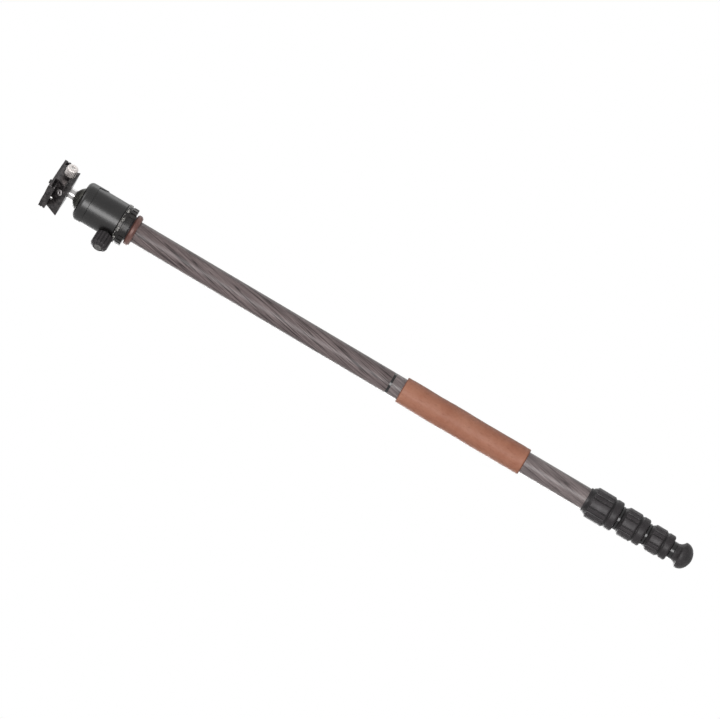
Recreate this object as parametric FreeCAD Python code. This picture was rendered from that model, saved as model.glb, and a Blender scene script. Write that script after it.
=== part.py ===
"""Monopod with a ball head: a carbon column, one four-section twist-lock leg and a clamp for a camera plate.

The leg stands along +Z with the lowest point of the rubber foot at the origin, on the tubes' axis.
+X points the way the ball housing's drop notch faces. Sizes are in millimetres.
"""
import FreeCAD, Part
import math
import os

from FreeCAD import Vector

ORIGIN = Vector(0, 0, 0)
ALONG_X = Vector(1, 0, 0)
ALONG_Y = Vector(0, 1, 0)
ALONG_Z = Vector(0, 0, 1)

# Fits
rest_gap = 0.3
running_gap = 0.05
wedge_gap = 0.1

# How far a cutting or joined shape runs past the face it meets
overlap = 1.0

# Leg tubes, from the widest down
tube_radius = 14.0
tube_step = 1.5
tube_wall = 1.0
section_count = 4
nest_drop = 2.0
slide_overlap = 50.0
bush_length = 32.0
bush_end_drop = 1.0
bush_key_width = 3.0
bush_key_height = 8.0

# Twist locks, listed from the top one down
lock_lengths = (41.5, 34.9, 32.7)
lock_build_up = 6.4
lock_lip_outs = (1.5, 3.4, 3.5)
lock_lip_height = 3.1
lock_end_rounding = 3.0
lock_end_wall = 1.4
lock_neck_gap = 0.4
lock_neck_flat = 1.0
lock_tail_step = 3.4
lock_groove_rounding = 1.2
lock_shoulder_rounding = 3.0
lock_rubber = 2.4
lock_shoulder = 5.0
lock_band_drop = 0.9
lock_groove_drop = 1.7
lock_collar_length = 10.0
lock_groove_width = 2.0
pad_count = 10
pad_share = 0.62
pad_rise = 0.8
collar_wall = 2.2
collar_neck_wall = 1.1
collet_seat = 4.0
collet_length = 12.0
collet_slit = 1.6
nut_floor = 3.0

# Foot
foot_height = 23.8
foot_radius = 16.9
foot_dome = 14.1
foot_neck_radius = 11.1
foot_sole = 2.0
foot_rim_step = 0.4
foot_rim_height = 2.0
foot_flare_width = 1.6
foot_flare_height = 3.8
neck_ring_length = 5.4
foot_stud_radius = 4.7
foot_stud_length = 14.0
foot_plug_length = 22.0

# Grip and bare lengths of the leg
bare_below_grip = 87.1
grip_length = 173.1
grip_foam = 1.6
grip_leather = 1.7
grip_edge_rounding = 1.4
bare_above_grip = 13.7

# Joint between leg and column
joint_ring_height = 3.0
joint_spigot_length = 22.0
joint_stud_radius = 7.5
joint_stud_length = 18.0
joint_socket_floor = 6.0
column_length = 358.4

# Copper-coloured top ring of the column
ring_height = 7.5
ring_radius = 20.2
ring_low_step = 2.3
ring_high_step = 1.6
ring_spigot_length = 24.0
stud_radius = 4.7
stud_rise = 14.0
friction_pad_height = 1.8
friction_pad_radius = 16.4

# Pan base of the head
flange_height = 6.7
flange_radius = 24.9
flange_teeth = 24
tooth_gap_share = 0.36
tooth_depth = 1.3
base_groove_height = 2.0
base_groove_radius = 24.2
scale_ring_height = 5.0
scale_ring_radius = 25.8
scale_ring_wall = 3.8
spindle_radius = 15.95
spindle_rise = 14.9
retainer_thickness = 2.2
retainer_radius = 18.4
retainer_screw_circle = 9.0
retainer_screws = 3
m3_radius = 1.5
m3_head_radius = 2.7
m3_head_height = 1.3
m3_length = 8.0
m3_socket = 2.0
m3_socket_depth = 1.2

# Ball housing
housing_radius = 25.0
flare_radius = 25.9
flare_height = 14.0
flare_corner = 6.5
seam_width = 0.8
seam_depth = 0.5
cavity_radius = 20.6
ledge_gap = 0.3
seat_ring_height = 8.0
seat_ring_top_drop = 5.3
mouth_radius = 15.9
lip_gap = 0.35
lobe_half_width = 12.6
notch_clearance = 0.6

# Ball, stem and the ball's lower cup
ball_radius = 18.0
ball_top_drop = 9.3
stem_radius = 7.0
stem_reach = 25.5
cup_height = 10.7
cup_bottom_drop = 19.1
cup_hole_radius = 3.0
cup_boss_radius = 5.5

# All ribbed knobs
knob_chamfer = 1.4
knob_groove_share = 0.34
knob_rib_share = 0.07
knob_dome_share = 0.25

# Main lock knob, out of the dropped clamp's way
main_knob_turn = 85.0
main_axis_drop = 24.2
main_screw_radius = 3.0
main_screw_gap = 0.8
main_boss_radius = 8.5
main_boss_reach = 27.6
main_knob_radius = 14.0
main_knob_length = 22.0
main_knob_ribs = 16
main_cap_radius = 7.5
main_cap_sink = 4.0
main_cap_height = 4.6
plunger_radius = 4.0
plunger_start = 1.2
plunger_end = 13.0
plunger_slope = 0.5
plunger_slope_start = 2.0
plunger_clearance = 0.7

# Pan lock knob
pan_knob_turn = -160.0
pan_axis_rise = 6.7
pan_screw_radius = 2.5
pan_boss_radius = 6.5
pan_boss_reach = 26.6
pan_knob_radius = 10.9
pan_knob_reach = 46.8
pan_knob_ribs = 14
pan_cap_radius = 5.2
pan_cap_height = 1.2
shoe_radius = 3.5
shoe_length = 3.0

# Plate clamp, whose screw points along clamp_turn
clamp_turn = -52.0
fixed_wall = 2.9
fixed_lip = 1.5
split_inset = 4.6
clamp_base_half = 25.0
clamp_top_half = 14.5
clamp_floor_rise = 15.6
jaw_wall = 3.4
jaw_foot_rise = 6.0
jaw_slope = 3.0
jaw_lip = 2.4
jaw_travel = 4.0
clamp_screw_radius = 2.5
clamp_screw_drop = 6.0
clamp_screw_tip = 6.6
clamp_knob_radius = 7.1
clamp_knob_length = 13.2
clamp_collar_radius = 4.8
clamp_collar_length = 1.6
clamp_knob_flutes = 12
clamp_screw_sink = 0.8
guide_pin_radius = 2.0
guide_pin_spread = 13.0
guide_pin_sink = 7.0
guide_pin_hold = 3.0
clamp_bolt_radius = 3.0
clamp_bolt_head = 4.6
clamp_bolt_head_height = 4.4
clamp_bolt_sink = 0.8
clamp_bolt_bite = 6.6
clamp_bolt_socket = 5.0
level_radius = 4.6
level_wall = 0.8
level_height = 5.0
level_spread = 10.5
level_gap = 1.2

# Camera plate
plate_width = 38.0
plate_length = 58.0
plate_slab = 3.0
plate_groove = 2.8
plate_groove_height = 4.0
plate_foot = 1.5
plate_corner = 2.5
plate_slide = 5.0
strip_width = 9.0
strip_rise = 0.5
strip_sink = 0.7
strip_inset = 2.5
strip_offset = 2.0
slot_half_length = 8.0
camera_thread_radius = 3.175
camera_thread_rise = 3.2
camera_head_radius = 6.5
camera_head_height = 2.4
camera_neck_radius = 2.6
camera_head_sink = 0.5
camera_head_room = 0.9
camera_slot_gap = 0.2
camera_coin_slot = 1.2
stop_radius = 1.4
stop_rise = 2.4

# Radii of the tubes and heights of the stack, from the ground up
tube_radii = [tube_radius - tube_step * i for i in range(section_count)]
neck_top = foot_height + neck_ring_length
lock_bottoms = []
height = neck_top + rest_gap
for length in reversed(lock_lengths):
    lock_bottoms.insert(0, height)
    height += length + lock_lip_height + rest_gap
lock_stack_top = height - rest_gap
grip_bottom = lock_stack_top + bare_below_grip
grip_top = grip_bottom + grip_length
joint_bottom = grip_top + bare_above_grip
column_bottom = joint_bottom + joint_ring_height
column_top = column_bottom + column_length
pad_bottom = column_top + ring_height
head_bottom = pad_bottom + friction_pad_height
scale_bottom = head_bottom + flange_height + base_groove_height
base_top = scale_bottom + scale_ring_height
housing_bottom = base_top + rest_gap
spindle_top = base_top + spindle_rise
main_axis = spindle_top + retainer_thickness + plunger_clearance + plunger_radius
ball_height = main_axis + main_axis_drop
housing_top = ball_height + ball_top_drop
pan_axis = housing_bottom + pan_axis_rise
clamp_bottom = ball_height + stem_reach
clamp_floor = clamp_bottom + clamp_floor_rise
plate_bottom = clamp_floor + rest_gap
plate_top = plate_bottom + plate_foot + plate_groove_height + plate_slab
clamp_screw_height = clamp_floor - clamp_screw_drop
seat_half = plate_width / 2 + wedge_gap
clamp_split = seat_half - split_inset
jaw_reach = seat_half + jaw_wall


def cylinder(radius, bottom, top):
    """A round bar on the Z axis."""
    return Part.makeCylinder(radius, top - bottom, Vector(0, 0, bottom))


def pipe(outer, inner, bottom, top):
    """A round tube on the Z axis."""
    return cylinder(outer, bottom, top).cut(cylinder(inner, bottom, top))


def outline_edges(corners):
    """Edges of a closed outline in the XZ plane from corners (x, z) or (x, z, rounding)."""
    points = [Vector(c[0], 0, c[1]) for c in corners]
    roundings = [c[2] if len(c) > 2 else 0.0 for c in corners]
    starts, ends, middles = [], [], []
    for i, corner in enumerate(points):
        before = (points[i - 1] - corner).normalize()
        after = (points[(i + 1) % len(points)] - corner).normalize()
        half = before.getAngle(after) / 2
        if roundings[i] > 0:
            back = roundings[i] / math.tan(half)
            bisector = (before + after).normalize()
            centre = corner + bisector * (roundings[i] / math.sin(half))
            starts.append(corner + before * back)
            ends.append(corner + after * back)
            middles.append(centre - bisector * roundings[i])
        else:
            starts.append(corner)
            ends.append(corner)
            middles.append(None)
    edges = []
    for i, middle in enumerate(middles):
        if middle is not None:
            edges.append(Part.Arc(starts[i], middle, ends[i]).toShape())
        following = starts[(i + 1) % len(starts)]
        if (following - ends[i]).Length > 1e-6:
            edges.append(Part.LineSegment(ends[i], following).toShape())
    return edges


def outline_face(corners):
    """A flat face in the XZ plane inside the outline."""
    return Part.Face(Part.Wire(outline_edges(corners)))


def turned(corners, angle=360.0):
    """A body turned about Z from an outline of (radius, height) corners."""
    return outline_face(corners).revolve(ORIGIN, ALONG_Z, angle)


def across(corners, half_length):
    """A bar along Y whose section is an outline of (x, z) corners."""
    bar = outline_face(corners).extrude(ALONG_Y * (2 * half_length))
    bar.translate(ALONG_Y * -half_length)
    return bar


def block(x0, x1, y0, y1, z0, z1):
    """A box between two corners."""
    return Part.makeBox(x1 - x0, y1 - y0, z1 - z0, Vector(x0, y0, z0))


def turned_by(shape, angle):
    """The shape turned about the Z axis."""
    return shape.rotated(ORIGIN, ALONG_Z, angle)


def around(shape, count, first=0.0):
    """Copies of the shape spread evenly about the Z axis."""
    return [turned_by(shape, first + 360.0 * i / count) for i in range(count)]


def laid_out(shape, angle, rise):
    """A shape made about Z laid on its side, pointing out from the head's axis."""
    lying = shape.rotated(ORIGIN, ALONG_Y, 90)
    lying.translate(ALONG_Z * rise)
    return turned_by(lying, angle)


def group(shapes):
    """Separate solids kept as one node."""
    return Part.makeCompound([solid for shape in shapes for solid in shape.Solids])


def inner_radius(section):
    """Bore of a leg tube, counted from 0 at the widest."""
    return tube_radii[section] - tube_wall


def tube_end(lock):
    """Height of the lower end of the tube that a lock closes on to."""
    return lock_bottoms[lock] + collet_seat + collet_length + rest_gap


def section_top(section):
    """Height of the upper end of a sliding tube inside the wider ones."""
    return joint_bottom - joint_spigot_length - rest_gap - nest_drop * section


def lock_radius(lock):
    """Widest radius of a twist lock."""
    return tube_radii[lock] + lock_build_up


def leg_tube(section):
    """One carbon tube of the leg."""
    if section == 0:
        return pipe(tube_radii[0], inner_radius(0), tube_end(0), joint_bottom)
    if section == section_count - 1:
        bottom = neck_top - neck_ring_length / 2
    else:
        bottom = tube_end(section)
    return pipe(tube_radii[section], inner_radius(section), bottom, section_top(section))


def lock_collar(lock):
    """Threaded collar glued on a tube's lower end, with the glossy lip above the lock."""
    outer = tube_radii[lock] + collar_wall
    lip = tube_radii[lock] + lock_lip_outs[lock]
    bottom = tube_end(lock)
    neck = tube_radii[lock] + collar_neck_wall
    thread_top = lock_bottoms[lock] + lock_lengths[lock] - lock_shoulder - rest_gap
    lip_bottom = lock_bottoms[lock] + lock_lengths[lock] + rest_gap
    lip_top = lock_bottoms[lock] + lock_lengths[lock] + lock_lip_height
    bore = tube_radii[lock]
    corners = [(bore, bottom), (outer, bottom), (outer, thread_top), (neck, thread_top)]
    corners += [(neck, lip_bottom), (lip, lip_bottom), (lip, lip_top, 0.6), (bore, lip_top)]
    return turned(corners)


def nut_radii(lock):
    """Thread radius and outer radius of a lock's nut."""
    return tube_radii[lock] + collar_wall + running_gap, lock_radius(lock) - lock_rubber


def lock_nut(lock):
    """Metal nut inside the rubber, with a tapered seat for the collet at its lower end."""
    thread, outer = nut_radii(lock)
    bottom = lock_bottoms[lock] + lock_end_wall
    top = lock_bottoms[lock] + lock_lengths[lock] - lock_shoulder
    seat = lock_bottoms[lock] + collet_seat
    passage = tube_radii[lock + 1] + rest_gap
    taper_top = seat + collet_length
    corners = [(passage, bottom), (outer, bottom), (outer, top), (thread, top), (thread, taper_top)]
    corners += [(passage + nut_floor / 2, seat), (passage, seat)]
    return turned(corners)


def lock_collet(lock):
    """Split tapered ring that grips the next tube."""
    thread = nut_radii(lock)[0]
    bore = tube_radii[lock + 1] + running_gap
    seat = lock_bottoms[lock] + collet_seat
    passage = tube_radii[lock + 1] + rest_gap + nut_floor / 2
    low, high = seat + wedge_gap, seat + collet_length
    corners = [(bore, low), (passage - 2 * wedge_gap, low), (thread - 2 * wedge_gap, high), (bore, high)]
    slit = block(0, thread, -collet_slit / 2, collet_slit / 2, low - overlap, high + overlap)
    return turned(corners).cut(slit)


def lock_rubber_sleeve(lock):
    """Rubber cover of a twist lock: a ribbed barrel, a groove and a plain band below it."""
    bottom, top = lock_bottoms[lock], lock_bottoms[lock] + lock_lengths[lock]
    core = nut_radii(lock)[1]
    widest = lock_radius(lock)
    valley = widest - pad_rise
    neck = tube_radii[lock] + collar_neck_wall + lock_neck_gap
    tail = tube_radii[lock + 1] + lock_tail_step
    band = widest - lock_band_drop
    groove = bottom + lock_collar_length + lock_groove_width / 2
    shoulder = top - lock_shoulder
    barrel_bottom = groove + lock_groove_width
    corners = [(tail, bottom), (band, bottom, lock_end_rounding)]
    corners += [(band, groove - lock_groove_width, lock_groove_rounding)]
    corners += [(widest - lock_groove_drop, groove, lock_groove_rounding)]
    corners += [(valley, barrel_bottom, lock_groove_rounding), (valley, shoulder, lock_shoulder_rounding)]
    corners += [(neck + lock_neck_flat, top, lock_neck_flat / 2), (neck, top), (neck, shoulder)]
    corners += [(core, shoulder), (core, bottom + lock_end_wall), (tail, bottom + lock_end_wall)]
    sleeve = turned(corners)
    step = 360.0 / pad_count
    root = valley - pad_rise * 0.75
    pad_corners = [(root, barrel_bottom + pad_rise)]
    pad_corners += [(widest - pad_rise / 3, barrel_bottom + 1.5 * pad_rise, 0.5)]
    pad_corners += [(widest, shoulder - 2 * pad_rise, 1.0), (root, shoulder - pad_rise)]
    pad = turned(pad_corners, step * pad_share)
    return sleeve.fuse(around(pad, pad_count)).removeSplitter()


def guide_bush(section):
    """Thin bush at the top of a sliding tube, with keys that sit in the tube's wall."""
    top = section_top(section)
    outer = inner_radius(section - 1) - running_gap
    bush = pipe(outer, tube_radii[section], top - bush_length, top - bush_end_drop)
    keys = bush_keys(section, tube_radii[section] + running_gap * 2)
    return bush.fuse(keys).removeSplitter()


def bush_keys(section, outer):
    """The two small keys of a guide bush, also used to cut their windows in the tube."""
    middle = section_top(section) - bush_length / 2
    half, reach = bush_key_width / 2, inner_radius(section) + wedge_gap
    low, high = middle - bush_key_height / 2, middle + bush_key_height / 2
    window = block(reach, outer, -half, half, low, high)
    return [window, turned_by(window, 180)]


def rubber_foot():
    """Mushroom-shaped rubber foot with a round underside."""
    angle = math.radians(45)
    dome_mid = Vector(foot_radius * math.sin(angle), 0, foot_dome * (1 - math.cos(angle)))
    waist = foot_neck_radius - rest_gap
    rim = foot_radius - foot_rim_step
    rim_top = foot_dome + foot_rim_height
    flare_mid = Vector(waist + foot_flare_width, 0, foot_height - foot_flare_height)
    edges = [
        Part.LineSegment(Vector(0, 0, 0), Vector(foot_sole, 0, 0)).toShape(),
        Part.Arc(Vector(foot_sole, 0, 0), dome_mid, Vector(foot_radius, 0, foot_dome)).toShape(),
        Part.LineSegment(Vector(foot_radius, 0, foot_dome), Vector(rim, 0, rim_top)).toShape(),
        Part.Arc(Vector(rim, 0, rim_top), flare_mid, Vector(waist, 0, foot_height)).toShape(),
        Part.LineSegment(Vector(waist, 0, foot_height), Vector(0, 0, foot_height)).toShape(),
        Part.LineSegment(Vector(0, 0, foot_height), Vector(0, 0, 0)).toShape(),
    ]
    foot = Part.Face(Part.Wire(edges)).revolve(ORIGIN, ALONG_Z, 360)
    return foot.cut(cylinder(foot_stud_radius, foot_height - foot_stud_length, foot_height + overlap))


def foot_insert():
    """Metal end of the lowest tube: a plug, the glossy neck ring and the stud for the foot."""
    last = section_count - 1
    plug = inner_radius(last)
    step = neck_top - neck_ring_length / 2
    corners = [(0, foot_height - foot_stud_length), (foot_stud_radius, foot_height - foot_stud_length)]
    corners += [(foot_stud_radius, foot_height), (foot_neck_radius, foot_height, 0.6)]
    corners += [(foot_neck_radius, neck_top, 0.6), (tube_radii[last], neck_top), (tube_radii[last], step)]
    corners += [(plug, step), (plug, step + foot_plug_length), (0, step + foot_plug_length)]
    return turned(corners)


def grip_layer(inner, wall, inset, rounding):
    """One round layer of the hand grip."""
    low, high = grip_bottom + inset, grip_top - inset
    corners = [(inner, low), (inner + wall, low, rounding), (inner + wall, high, rounding), (inner, high)]
    return turned(corners)


def leather_grip():
    """Leather cover of the grip, turned in over the foam at both ends."""
    inner = tube_radii[0] + grip_foam
    cover = grip_layer(inner, grip_leather, 0.0, grip_edge_rounding)
    ends = [
        pipe(inner, tube_radii[0], grip_bottom, grip_bottom + grip_leather),
        pipe(inner, tube_radii[0], grip_top - grip_leather, grip_top),
    ]
    return cover.fuse(ends).removeSplitter()


def joint_stud():
    """Threaded piece on top of the leg: spigot in the tube, black ring, and stud for the column."""
    spigot = inner_radius(0)
    low, high = joint_bottom - joint_spigot_length, column_bottom + joint_stud_length
    corners = [(0, low), (spigot, low, 0.5), (spigot, joint_bottom), (tube_radii[0], joint_bottom)]
    corners += [(tube_radii[0], column_bottom), (joint_stud_radius, column_bottom)]
    corners += [(joint_stud_radius, high, 0.8), (0, high)]
    return turned(corners)


def joint_socket():
    """Threaded socket glued in the column's lower end."""
    length = joint_stud_length + joint_socket_floor
    socket = cylinder(inner_radius(0), column_bottom, column_bottom + length)
    thread_top = column_bottom + joint_stud_length + rest_gap
    return socket.cut(cylinder(joint_stud_radius, column_bottom, thread_top))


def top_ring():
    """Rounded copper-coloured ring that closes the column and carries the head."""
    spigot = inner_radius(0)
    low = column_top - ring_spigot_length
    corners = [(0, low), (spigot, low, 0.5), (spigot, column_top)]
    corners += [(ring_radius - ring_low_step, column_top, 0.6)]
    corners += [(ring_radius, column_top + ring_low_step, 1.6)]
    corners += [(ring_radius, pad_bottom - ring_high_step, 1.3)]
    corners += [(ring_radius - ring_high_step, pad_bottom, 0.5), (0, pad_bottom)]
    ring = turned(corners)
    return ring.cut(cylinder(stud_radius, pad_bottom - stud_rise, pad_bottom + overlap))


def head_stud():
    """Threaded stud that holds the head on the column."""
    low, high = pad_bottom - stud_rise, head_bottom + stud_rise
    return turned([(0, low), (stud_radius, low, 0.6), (stud_radius, high, 0.6), (0, high)])


def pan_base():
    """Toothed base of the head with the spindle that the housing turns on."""
    shelf = scale_ring_radius - scale_ring_wall
    groove = scale_bottom - base_groove_height
    corners = [(0, head_bottom), (flange_radius, head_bottom, 0.6), (flange_radius, groove, 0.5)]
    corners += [(base_groove_radius, groove), (base_groove_radius, scale_bottom), (shelf, scale_bottom)]
    corners += [(shelf, base_top), (spindle_radius, base_top), (spindle_radius, spindle_top)]
    corners += [(0, spindle_top)]
    base = turned(corners)
    width = 2 * math.pi * flange_radius / flange_teeth * tooth_gap_share
    deep = flange_radius - tooth_depth
    gap = block(deep, 2 * flange_radius, -width / 2, width / 2, head_bottom - overlap, groove + overlap / 2)
    cuts = around(gap, flange_teeth)
    cuts.append(cylinder(stud_radius, head_bottom - overlap, head_bottom + stud_rise))
    cuts += around(retaining_screw(), retainer_screws)
    return base.cut(cuts)


def scale_ring():
    """Ring round the base that carries the degree marks."""
    inner = scale_ring_radius - scale_ring_wall
    corners = [(inner, scale_bottom), (scale_ring_radius, scale_bottom, 0.6)]
    corners += [(scale_ring_radius, base_top, 0.6), (inner, base_top)]
    return turned(corners)


def retaining_screw():
    """One countersunk screw that holds the disc, standing off the axis."""
    top = spindle_top + retainer_thickness
    shank = Part.makeCylinder(m3_radius, m3_length, Vector(retainer_screw_circle, 0, top - m3_length))
    cone_foot = Vector(retainer_screw_circle, 0, top - m3_head_height)
    cone = Part.makeCone(m3_radius, m3_head_radius, m3_head_height, cone_foot)
    return shank.fuse(cone).removeSplitter()


def retainer_disc():
    """Disc on the spindle that keeps the housing down."""
    disc = cylinder(retainer_radius, spindle_top, spindle_top + retainer_thickness)
    return disc.cut(around(retaining_screw(), retainer_screws))


def retaining_screws():
    """The countersunk screws, each with a hexagon socket."""
    top = spindle_top + retainer_thickness
    socket = hexagon_bar(m3_socket / 2, top - m3_socket_depth, top + overlap)
    socket.translate(ALONG_X * retainer_screw_circle)
    return group(around(retaining_screw().cut(socket), retainer_screws))


def drop_notch(half_width, bottom_centre):
    """U-shaped space from the axis outwards that opens upwards and towards +X."""
    reach = 2 * flare_radius
    round_end = Part.makeCylinder(half_width, reach, Vector(0, 0, bottom_centre), ALONG_X)
    above = block(0, reach, -half_width, half_width, bottom_centre, housing_top + overlap)
    return round_end.fuse(above)


def dropped_clamp_space():
    """Space under the notch for the clamp's underside when the stem lies in the notch."""
    near = stem_reach - rest_gap
    low = ball_height - clamp_base_half - overlap
    return block(near, 2 * flare_radius, -lobe_half_width, lobe_half_width, low, ball_height)


def ball_housing():
    """Housing with the ball's cavity, its mouth, the drop notch and bosses for the two lock screws."""
    flare_bottom = housing_top - flare_height
    corners = [(spindle_radius + running_gap, housing_bottom), (housing_radius, housing_bottom, 0.8)]
    seam_radius, seam_bottom = housing_radius - seam_depth, flare_bottom - seam_width
    corners += [(housing_radius, seam_bottom), (seam_radius, seam_bottom), (seam_radius, flare_bottom)]
    corners += [(flare_radius, flare_bottom, 0.6), (flare_radius, housing_top, flare_corner)]
    ledge = spindle_top - ledge_gap
    corners += [(mouth_radius, housing_top), (mouth_radius, ball_height), (cavity_radius, ball_height)]
    corners += [(cavity_radius, ledge), (spindle_radius + running_gap, ledge)]
    body = turned(corners)
    lobe_inner, lobe_low = cavity_radius + overlap / 2, flare_bottom - lobe_half_width
    lobe = pipe(flare_radius, lobe_inner, lobe_low, flare_bottom + overlap)
    lobe = lobe.common(drop_notch(lobe_half_width, flare_bottom))
    boss_start = cavity_radius + overlap
    bosses = [
        laid_out(cylinder(main_boss_radius, boss_start, main_boss_reach), main_knob_turn, main_axis),
        laid_out(cylinder(pan_boss_radius, boss_start, pan_boss_reach), pan_knob_turn, pan_axis),
    ]
    body = body.fuse([lobe] + bosses)
    seat_top = housing_top - seat_ring_top_drop
    shoe_hole = cylinder(shoe_radius + running_gap, 0, shoe_start() + shoe_length + 2 * rest_gap)
    main_hole = cylinder(main_screw_radius + running_gap, 0, main_boss_reach + overlap)
    pan_hole = cylinder(pan_screw_radius + running_gap, 0, pan_boss_reach + overlap)
    cuts = [
        cylinder(cavity_radius, ball_height - overlap, seat_top),
        Part.makeSphere(ball_radius + lip_gap, Vector(0, 0, ball_height)),
        drop_notch(stem_radius + notch_clearance, ball_height),
        dropped_clamp_space(),
        laid_out(main_hole, main_knob_turn, main_axis),
        laid_out(pan_hole, pan_knob_turn, pan_axis),
        laid_out(shoe_hole, pan_knob_turn, pan_axis),
    ]
    return body.cut(cuts)


def upper_seat():
    """Plastic ring that the ball is pressed up against, open at the notch."""
    top = housing_top - seat_ring_top_drop
    ring = cylinder(cavity_radius, top - seat_ring_height, top)
    ring = ring.cut(Part.makeSphere(ball_radius + running_gap, Vector(0, 0, ball_height)))
    return ring.cut(drop_notch(stem_radius + notch_clearance, ball_height))


def slope_block(above, offset):
    """Everything above or below the slope that the plunger and the cup share."""
    far = 2 * cavity_radius
    low = main_axis + (-far - plunger_slope_start) * plunger_slope + offset
    high = main_axis + (far - plunger_slope_start) * plunger_slope + offset
    limit = main_axis + (2 * far if above else -2 * far)
    corners = [(-far, low), (far, high), (far, limit), (-far, limit)]
    return turned_by(across(corners, far), main_knob_turn)


def lower_cup():
    """Cup under the ball with a sloped boss, which the plunger lifts."""
    bottom = ball_height - cup_bottom_drop
    ring = cylinder(cavity_radius - rest_gap, bottom, bottom + cup_height)
    ring = ring.cut(Part.makeSphere(ball_radius + running_gap, Vector(0, 0, ball_height)))
    boss = cylinder(cup_boss_radius, main_axis - 2 * plunger_radius, bottom + overlap / 2)
    boss = boss.common(slope_block(True, wedge_gap / 2))
    cup = ring.fuse(boss).removeSplitter()
    return cup.cut(cylinder(cup_hole_radius, main_axis - cavity_radius, ball_height))


def plunger():
    """Sliding plunger with a sloped end under the cup."""
    bar = laid_out(cylinder(plunger_radius, plunger_start, plunger_end), main_knob_turn, main_axis)
    return bar.common(slope_block(False, -wedge_gap / 2))


def ribbed_knob(radius, start, end, ribs, bore):
    """A round knob about Z with grooves along its side and a domed outer end."""
    rib_depth, dome = radius * knob_rib_share, radius * knob_dome_share
    corners = [(bore, start), (radius - knob_chamfer, start, 0.5), (radius, start + knob_chamfer, 0.8)]
    corners += [(radius, end - dome, dome * 0.9), (bore + (radius - bore) * 0.55, end, 0.8), (bore, end)]
    body = turned(corners)
    width = 2 * math.pi * radius / ribs * knob_groove_share
    groove = Part.makeCylinder(width, end - start, Vector(radius + width - rib_depth, 0, start - overlap))
    return body.cut(around(groove, ribs))


def main_knob_start():
    """Distance of the main knob's inner face from the head's axis."""
    return main_boss_reach + rest_gap


def main_knob():
    """Large rubbered knob that locks the ball."""
    start = main_knob_start()
    end = start + main_knob_length
    knob = ribbed_knob(main_knob_radius, start, end, main_knob_ribs, main_screw_radius)
    pocket = cylinder(main_cap_radius, end - main_cap_sink, end + overlap)
    return laid_out(knob.cut(pocket), main_knob_turn, main_axis)


def main_screw():
    """Screw of the main knob, which pushes the plunger."""
    low, high = plunger_end + main_screw_gap, main_knob_start() + main_knob_length - main_cap_sink
    screw = turned([(0, low), (main_screw_radius, low, 0.5), (main_screw_radius, high), (0, high)])
    return laid_out(screw, main_knob_turn, main_axis)


def main_cap():
    """Cap let into the main knob's end."""
    low = main_knob_start() + main_knob_length - main_cap_sink
    high = low + main_cap_height
    cap = turned([(0, low), (main_cap_radius, low), (main_cap_radius, high, 1.0), (0, high)])
    return laid_out(cap, main_knob_turn, main_axis)


def shoe_start():
    """Distance of the brake shoe's inner end from the axis."""
    return spindle_radius + running_gap


def brake_shoe():
    """Shoe that the pan knob presses on the spindle."""
    shoe = cylinder(shoe_radius, spindle_radius / 2, shoe_start() + shoe_length)
    shoe = laid_out(shoe, pan_knob_turn, pan_axis)
    return shoe.cut(cylinder(shoe_start(), head_bottom, housing_top))


def pan_knob():
    """Small ribbed knob that locks the panning turn."""
    start, end = pan_boss_reach + rest_gap, pan_knob_reach
    knob = ribbed_knob(pan_knob_radius, start, end, pan_knob_ribs, pan_screw_radius)
    pocket = cylinder(pan_cap_radius, end - pan_cap_height, end + overlap)
    return laid_out(knob.cut(pocket), pan_knob_turn, pan_axis)


def pan_screw():
    """Screw of the pan knob."""
    low, high = shoe_start() + shoe_length + rest_gap, pan_knob_reach - 2 * pan_cap_height
    screw = turned([(0, low), (pan_screw_radius, low, 0.4), (pan_screw_radius, high), (0, high)])
    return laid_out(screw, pan_knob_turn, pan_axis)


def pan_cap():
    """Cap let into the pan knob's end."""
    top = pan_knob_reach
    step = top - pan_cap_height
    peg = cylinder(pan_screw_radius, step - pan_cap_height, step)
    cap = peg.fuse(cylinder(pan_cap_radius, step, top))
    return laid_out(cap, pan_knob_turn, pan_axis)


def ball():
    """The ball."""
    return Part.makeSphere(ball_radius, Vector(0, 0, ball_height))


def stem():
    """Polished stem between the ball and the clamp."""
    foot = ball_height + math.sqrt(ball_radius ** 2 - stem_radius ** 2)
    corners = [(0, foot), (stem_radius, foot), (stem_radius, clamp_bottom, 0.4), (0, clamp_bottom)]
    body = turned(corners).cut(Part.makeSphere(ball_radius + running_gap, Vector(0, 0, ball_height)))
    hole_bottom = clamp_bottom - clamp_bolt_bite
    return body.cut(cylinder(clamp_bolt_radius + running_gap, hole_bottom, clamp_bottom + overlap))


def clamp_ends():
    """The clamp's outline seen along its screw, narrower at the top."""
    high = plate_top + overlap
    top_half = clamp_end(high)
    corners = [(-clamp_base_half, clamp_bottom), (clamp_base_half, clamp_bottom)]
    corners += [(top_half, high), (-top_half, high)]
    return across(corners, 2 * jaw_reach).rotated(ORIGIN, ALONG_Z, 90)


def clamp_end(at_height):
    """Half the clamp's length at a height."""
    lean = (clamp_base_half - clamp_top_half) / (lip_heights()[2] - clamp_bottom)
    return clamp_base_half - lean * (at_height - clamp_bottom)


def lip_heights():
    """Heights of the plate's lower rim edge, groove middle and upper rim edge."""
    low = plate_bottom + plate_foot
    return low, low + plate_groove_height / 2, low + plate_groove_height


def clamp_hardware_holes():
    """Holes in the clamp for its bolt, screw and guide pins."""
    head_low = clamp_floor - clamp_bolt_sink - clamp_bolt_head_height
    holes = [
        cylinder(clamp_bolt_radius, clamp_bottom - overlap, clamp_floor),
        cylinder(clamp_bolt_head + 2 * wedge_gap, head_low, clamp_floor + overlap),
    ]
    screw = cylinder(clamp_screw_radius + running_gap, clamp_screw_tip - rest_gap, jaw_reach + overlap)
    holes.append(laid_out(screw, 0, clamp_screw_height))
    return holes + guide_pins_at(0.0)


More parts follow.
